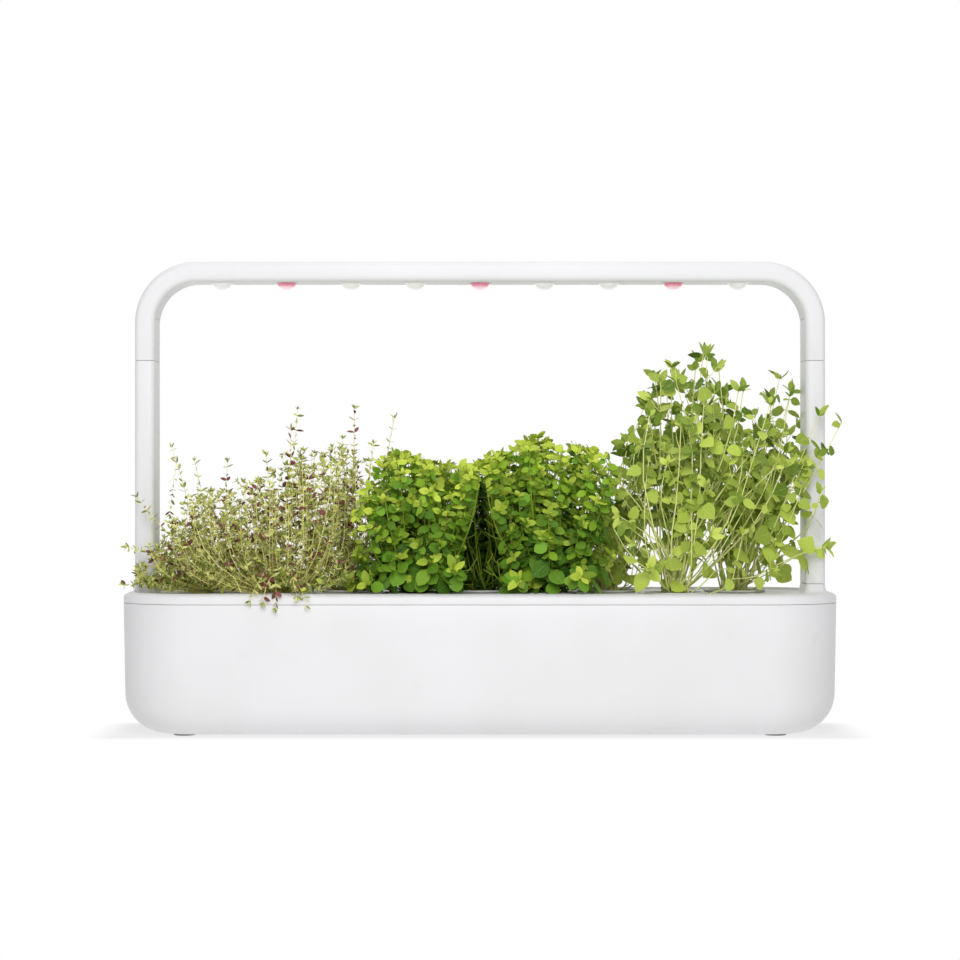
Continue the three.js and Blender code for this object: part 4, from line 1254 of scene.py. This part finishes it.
# %% Leaf finishes
def leaf_finish(name, rows, vein, vein_count, gloss, vein_depth):
    """A finish for a herb. The rows are pairs of a dark and a light colour."""
    material, recipe = new_material(name)
    u, v, _ = recipe.axes(recipe.node("UVMap", {"uv_map": "OFBake"}))
    column = (u * CHART_COLUMNS).floor()
    row = (v * CHART_ROWS).floor()
    across = abs(u * CHART_COLUMNS - column - 0.5) * (2 / (1 - 2 * CELL_MARGIN))
    along = (v * CHART_ROWS - row - CELL_MARGIN) * (1 / (1 - 2 * CELL_MARGIN))
    spot = recipe.node("CombineXYZ", sockets={0: u, 1: v * 0.5, 2: 0})
    mottle = recipe.speckle(70, 4, spot, roughness=0.65)
    tone = column * (1 / (CHART_COLUMNS - 1)) + (mottle - 0.5) * 0.5
    kinds = [recipe.blend(tone, dark, light) for dark, light in rows]
    colour = kinds[0]
    for number, kind in enumerate(kinds[1:], 1):
        colour = recipe.blend(row > number - 0.5, colour, kind)
    is_leaf = row < STEM_ROW - 0.5
    midrib = 1 - across.ramp(0.03, 0.12)
    phase = (along - across * 0.32) * vein_count
    near = abs(phase - phase.floor() - 0.5)
    side_veins = (1 - near.ramp(0.02, 0.14)) * (1 - across.ramp(0.75, 1.0)) * 0.5
    veins = midrib.largest(side_veins) * is_leaf
    edge = across.ramp(0.7, 1.0) * is_leaf
    veined = recipe.blend(veins * 0.3, colour, vein)
    recipe.principled({
        "Base Color": recipe.blend(edge * 0.12, veined, vein),
        "Roughness": mottle * 0.2 + (gloss - 0.1),
        "Specular IOR Level": 0.22,
        "Normal": recipe.bump(mottle * 0.4 - veins, vein_depth * MM),
    })
    return material


FINISHES = {
    "thyme": leaf_finish(
        "thyme_leaf", [((100, 112, 42), (236, 238, 144)), ((92, 44, 50), (146, 76, 84)),
                       ((96, 126, 38), (216, 232, 106)), ((232, 218, 104), (255, 248, 160))],
        (206, 208, 128), 4, 0.66, 0.06),
    "basil": leaf_finish(
        "basil_leaf", [((46, 86, 14), (127, 177, 48)), ((40, 78, 4), (146, 186, 46)),
                       ((72, 116, 6), (212, 230, 84)), ((84, 110, 20), (164, 186, 60))],
        (142, 182, 74), 6, 0.56, 0.12),
    "oregano": leaf_finish(
        "oregano_leaf", [((80, 114, 24), (200, 222, 94)), ((86, 120, 26), (208, 228, 104)),
                         ((94, 130, 28), (216, 232, 112)), ((206, 214, 104), (248, 250, 172))],
        (206, 220, 124), 5, 0.6, 0.1),
}
print("leaf finishes:", len(FINISHES))

# %% [markdown]
# ## The nine herbs
#
# From left to right there are three plants each of thyme, basil and oregano. Thyme is a mat of dark sprigs with
# a haze of thin pale stems above it, whose tiny leaves are olive or reddish, and some sprigs hang over the rim.
# Basil is a dense dome of smooth leaves, the oldest and largest at its foot. Oregano is loose and tall, with
# long pale stems that cross and heart-shaped leaves.
#
# Lengths are in millimetres, angles in degrees, and tones in columns of the chart. A crown lists heights above
# the dish, and a leader is a stem whose tip is given. A layer is a set of stems: how many, how high as shares of
# the crown, how much of them is bare, the leaf's length at the foot, middle and tip, the chance of a shoot, the
# tones at the foot and the top, and the shares of the three kinds of leaf. Between these two tones a leaf's tone
# follows its height, which is painted light and shade: thyme and basil are lighter at the top, where the light
# falls, and oregano is lighter at its foot, to offset the shade there.

# %% Habits of the herbs
Layer = namedtuple("Layer", "stems height bare leaf shoots tone kinds")
HABITS = {
    "thyme": SimpleNamespace(
        crown=[(-300, 8), (-288, 18), (-266, 64), (-237, 84), (-203, 94), (-178, 106), (-161, 120), (-127, 126),
               (-101, 122), (-80, 112), (-60, 100)],
        stem_radius=0.42, stem_tone=6, gap=5.4, opening=(30, 80), tip_opening=(20, 60),
        droop=0.1, facing=(0.7, 0.4), looseness=0.9, mixed=3.8, tip_pairs=3, tip_kind=0,
        shoot_length=(9, 22), wave=2.5, stray=6, lean=1, rise=0.12, parting=(0, 0, 1),
        leader_shoots=0.05,
        layers=[
            Layer(40, (0.1, 0.5), (0.08, 0.25), (6, 6, 5), 0.3, (2.8, 4), [0.78, 0.06, 0.16]),
            Layer(38, (0.6, 1.0), (0.35, 0.55), (6, 7, 5.5), 0.28, (3, 4.4), [0.82, 0.14, 0.04]),
            Layer(36, (0.6, 1.0), (0.7, 0.9), (6, 6.5, 5), 0.1, (3, 4.4), [0.84, 0.13, 0.03]),
        ],
        leaders=[(-296, -46, 40), (-288, -40, 82), (-261, -20, 124), (-245, 12, 113), (-216, 4, 113),
                 (-182, -10, 118), (-160, -20, 140), (-154, -26, 156), (-118, 10, 132), (-108, 22, 158),
                 (-92, 30, 128), (-74, 26, 150), (-196, -96, 4), (-189, -97, -3), (-178, -97, -4),
                 (-168, -97, -9), (-150, -97, 0), (-142, -97, -7)],
    ),
    "basil": SimpleNamespace(
        crown=[(-116, 18), (-98, 78), (-80, 112), (-74, 117), (-45, 110), (0, 109), (22, 118), (47, 127), (60, 120),
               (80, 122), (100, 116), (118, 104)],
        stem_radius=0.8, stem_tone=3, gap=9, opening=(45, 95), tip_opening=(30, 80),
        droop=0.5, facing=(1.0, 0.45), looseness=0.75, mixed=2.6, tip_pairs=4, tip_kind=2,
        shoot_length=(10, 24), wave=2, stray=5, lean=0.85, rise=0.35, parting=(2, 17, 106),
        leader_shoots=0.4,
        layers=[
            Layer(16, (0.1, 0.4), (0.3, 0.5), (16, 19, 12), 0.3, (3.5, 4), [0.8, 0.2, 0]),
            Layer(36, (0.45, 0.98), (0.3, 0.5), (13, 12, 8), 0.6, (1, 6), [0.45, 0.5, 0.05]),
            Layer(24, (0.93, 1.02), (0.7, 0.8), (11, 11, 8), 0.5, (2, 7), [0.2, 0.6, 0.2]),
        ],
        leaders=[(-70, 0, 116), (42, 0, 126), (49, -10, 132), (56, -4, 128), (82, -20, 124), (92, -30, 122)],
    ),
    "oregano": SimpleNamespace(
        crown=[(86, 14), (99, 60), (118, 108), (127, 131), (145, 174), (152, 188), (175, 194), (188, 204), (200, 198),
               (209, 190), (221, 180), (232, 164), (240, 168), (251, 180), (265, 178), (274, 156), (303, 134)],
        stem_radius=0.72, stem_tone=5.5, gap=24, opening=(50, 95), tip_opening=(12, 60),
        droop=0.5, facing=(1.0, 0.4), looseness=0.9, mixed=3.4, tip_pairs=2, tip_kind=2,
        shoot_length=(18, 44), wave=6, stray=34, lean=0.45, rise=0.4, parting=(0, 0, 1),
        leader_shoots=0.1,
        layers=[
            Layer(5, (0.1, 0.45), (0.35, 0.5), (14, 17, 11), 0.3, (6.6, 4), [0.55, 0.35, 0.1]),
            Layer(19, (0.45, 0.97), (0.35, 0.5), (17, 20, 12), 0.38, (6.6, 2.8), [0.64, 0.32, 0.04]),
            Layer(36, (0.5, 0.95), (0.72, 0.88), (13, 15, 10), 0.05, (6.6, 2.8), [0.6, 0.34, 0.06]),
        ],
        leaders=[(190, -10, 204), (184, -6, 197), (205, 10, 190), (163, -10, 192), (150, 6, 184), (258, 20, 184),
                 (268, 24, 172), (284, -44, 150), (303, -44, 144), (290, -46, 40)],
    ),
}

# %% The nine herbs
HERB_OF = {n: list(HABITS)[(n - 1) // 3] for n in HOLE_PLACES}

for n, herb in HERB_OF.items():
    cups = [m for m, other in HERB_OF.items() if other == herb]
    leaders = [spot for spot in HABITS[herb].leaders
               if min(cups, key=lambda m: abs(spot[0] - HOLE_PLACES[m][0])) == n]
    plant = Herb(n, HABITS[herb], seed=100 + n)
    plant.grow(leaders)
    name = f"{herb}_foliage_{n}"
    foliage = added(name, plant_mesh(name, plant, LEAVES[herb]))
    dress(foliage, f"cup_{n}", f"{herb}_leaf", FINISHES[herb], f"{herb}_{n}", sharp=60)
    print(name, len(plant.stems), "stems", len(plant.leaves), "leaves", len(foliage.data.polygons), "faces")
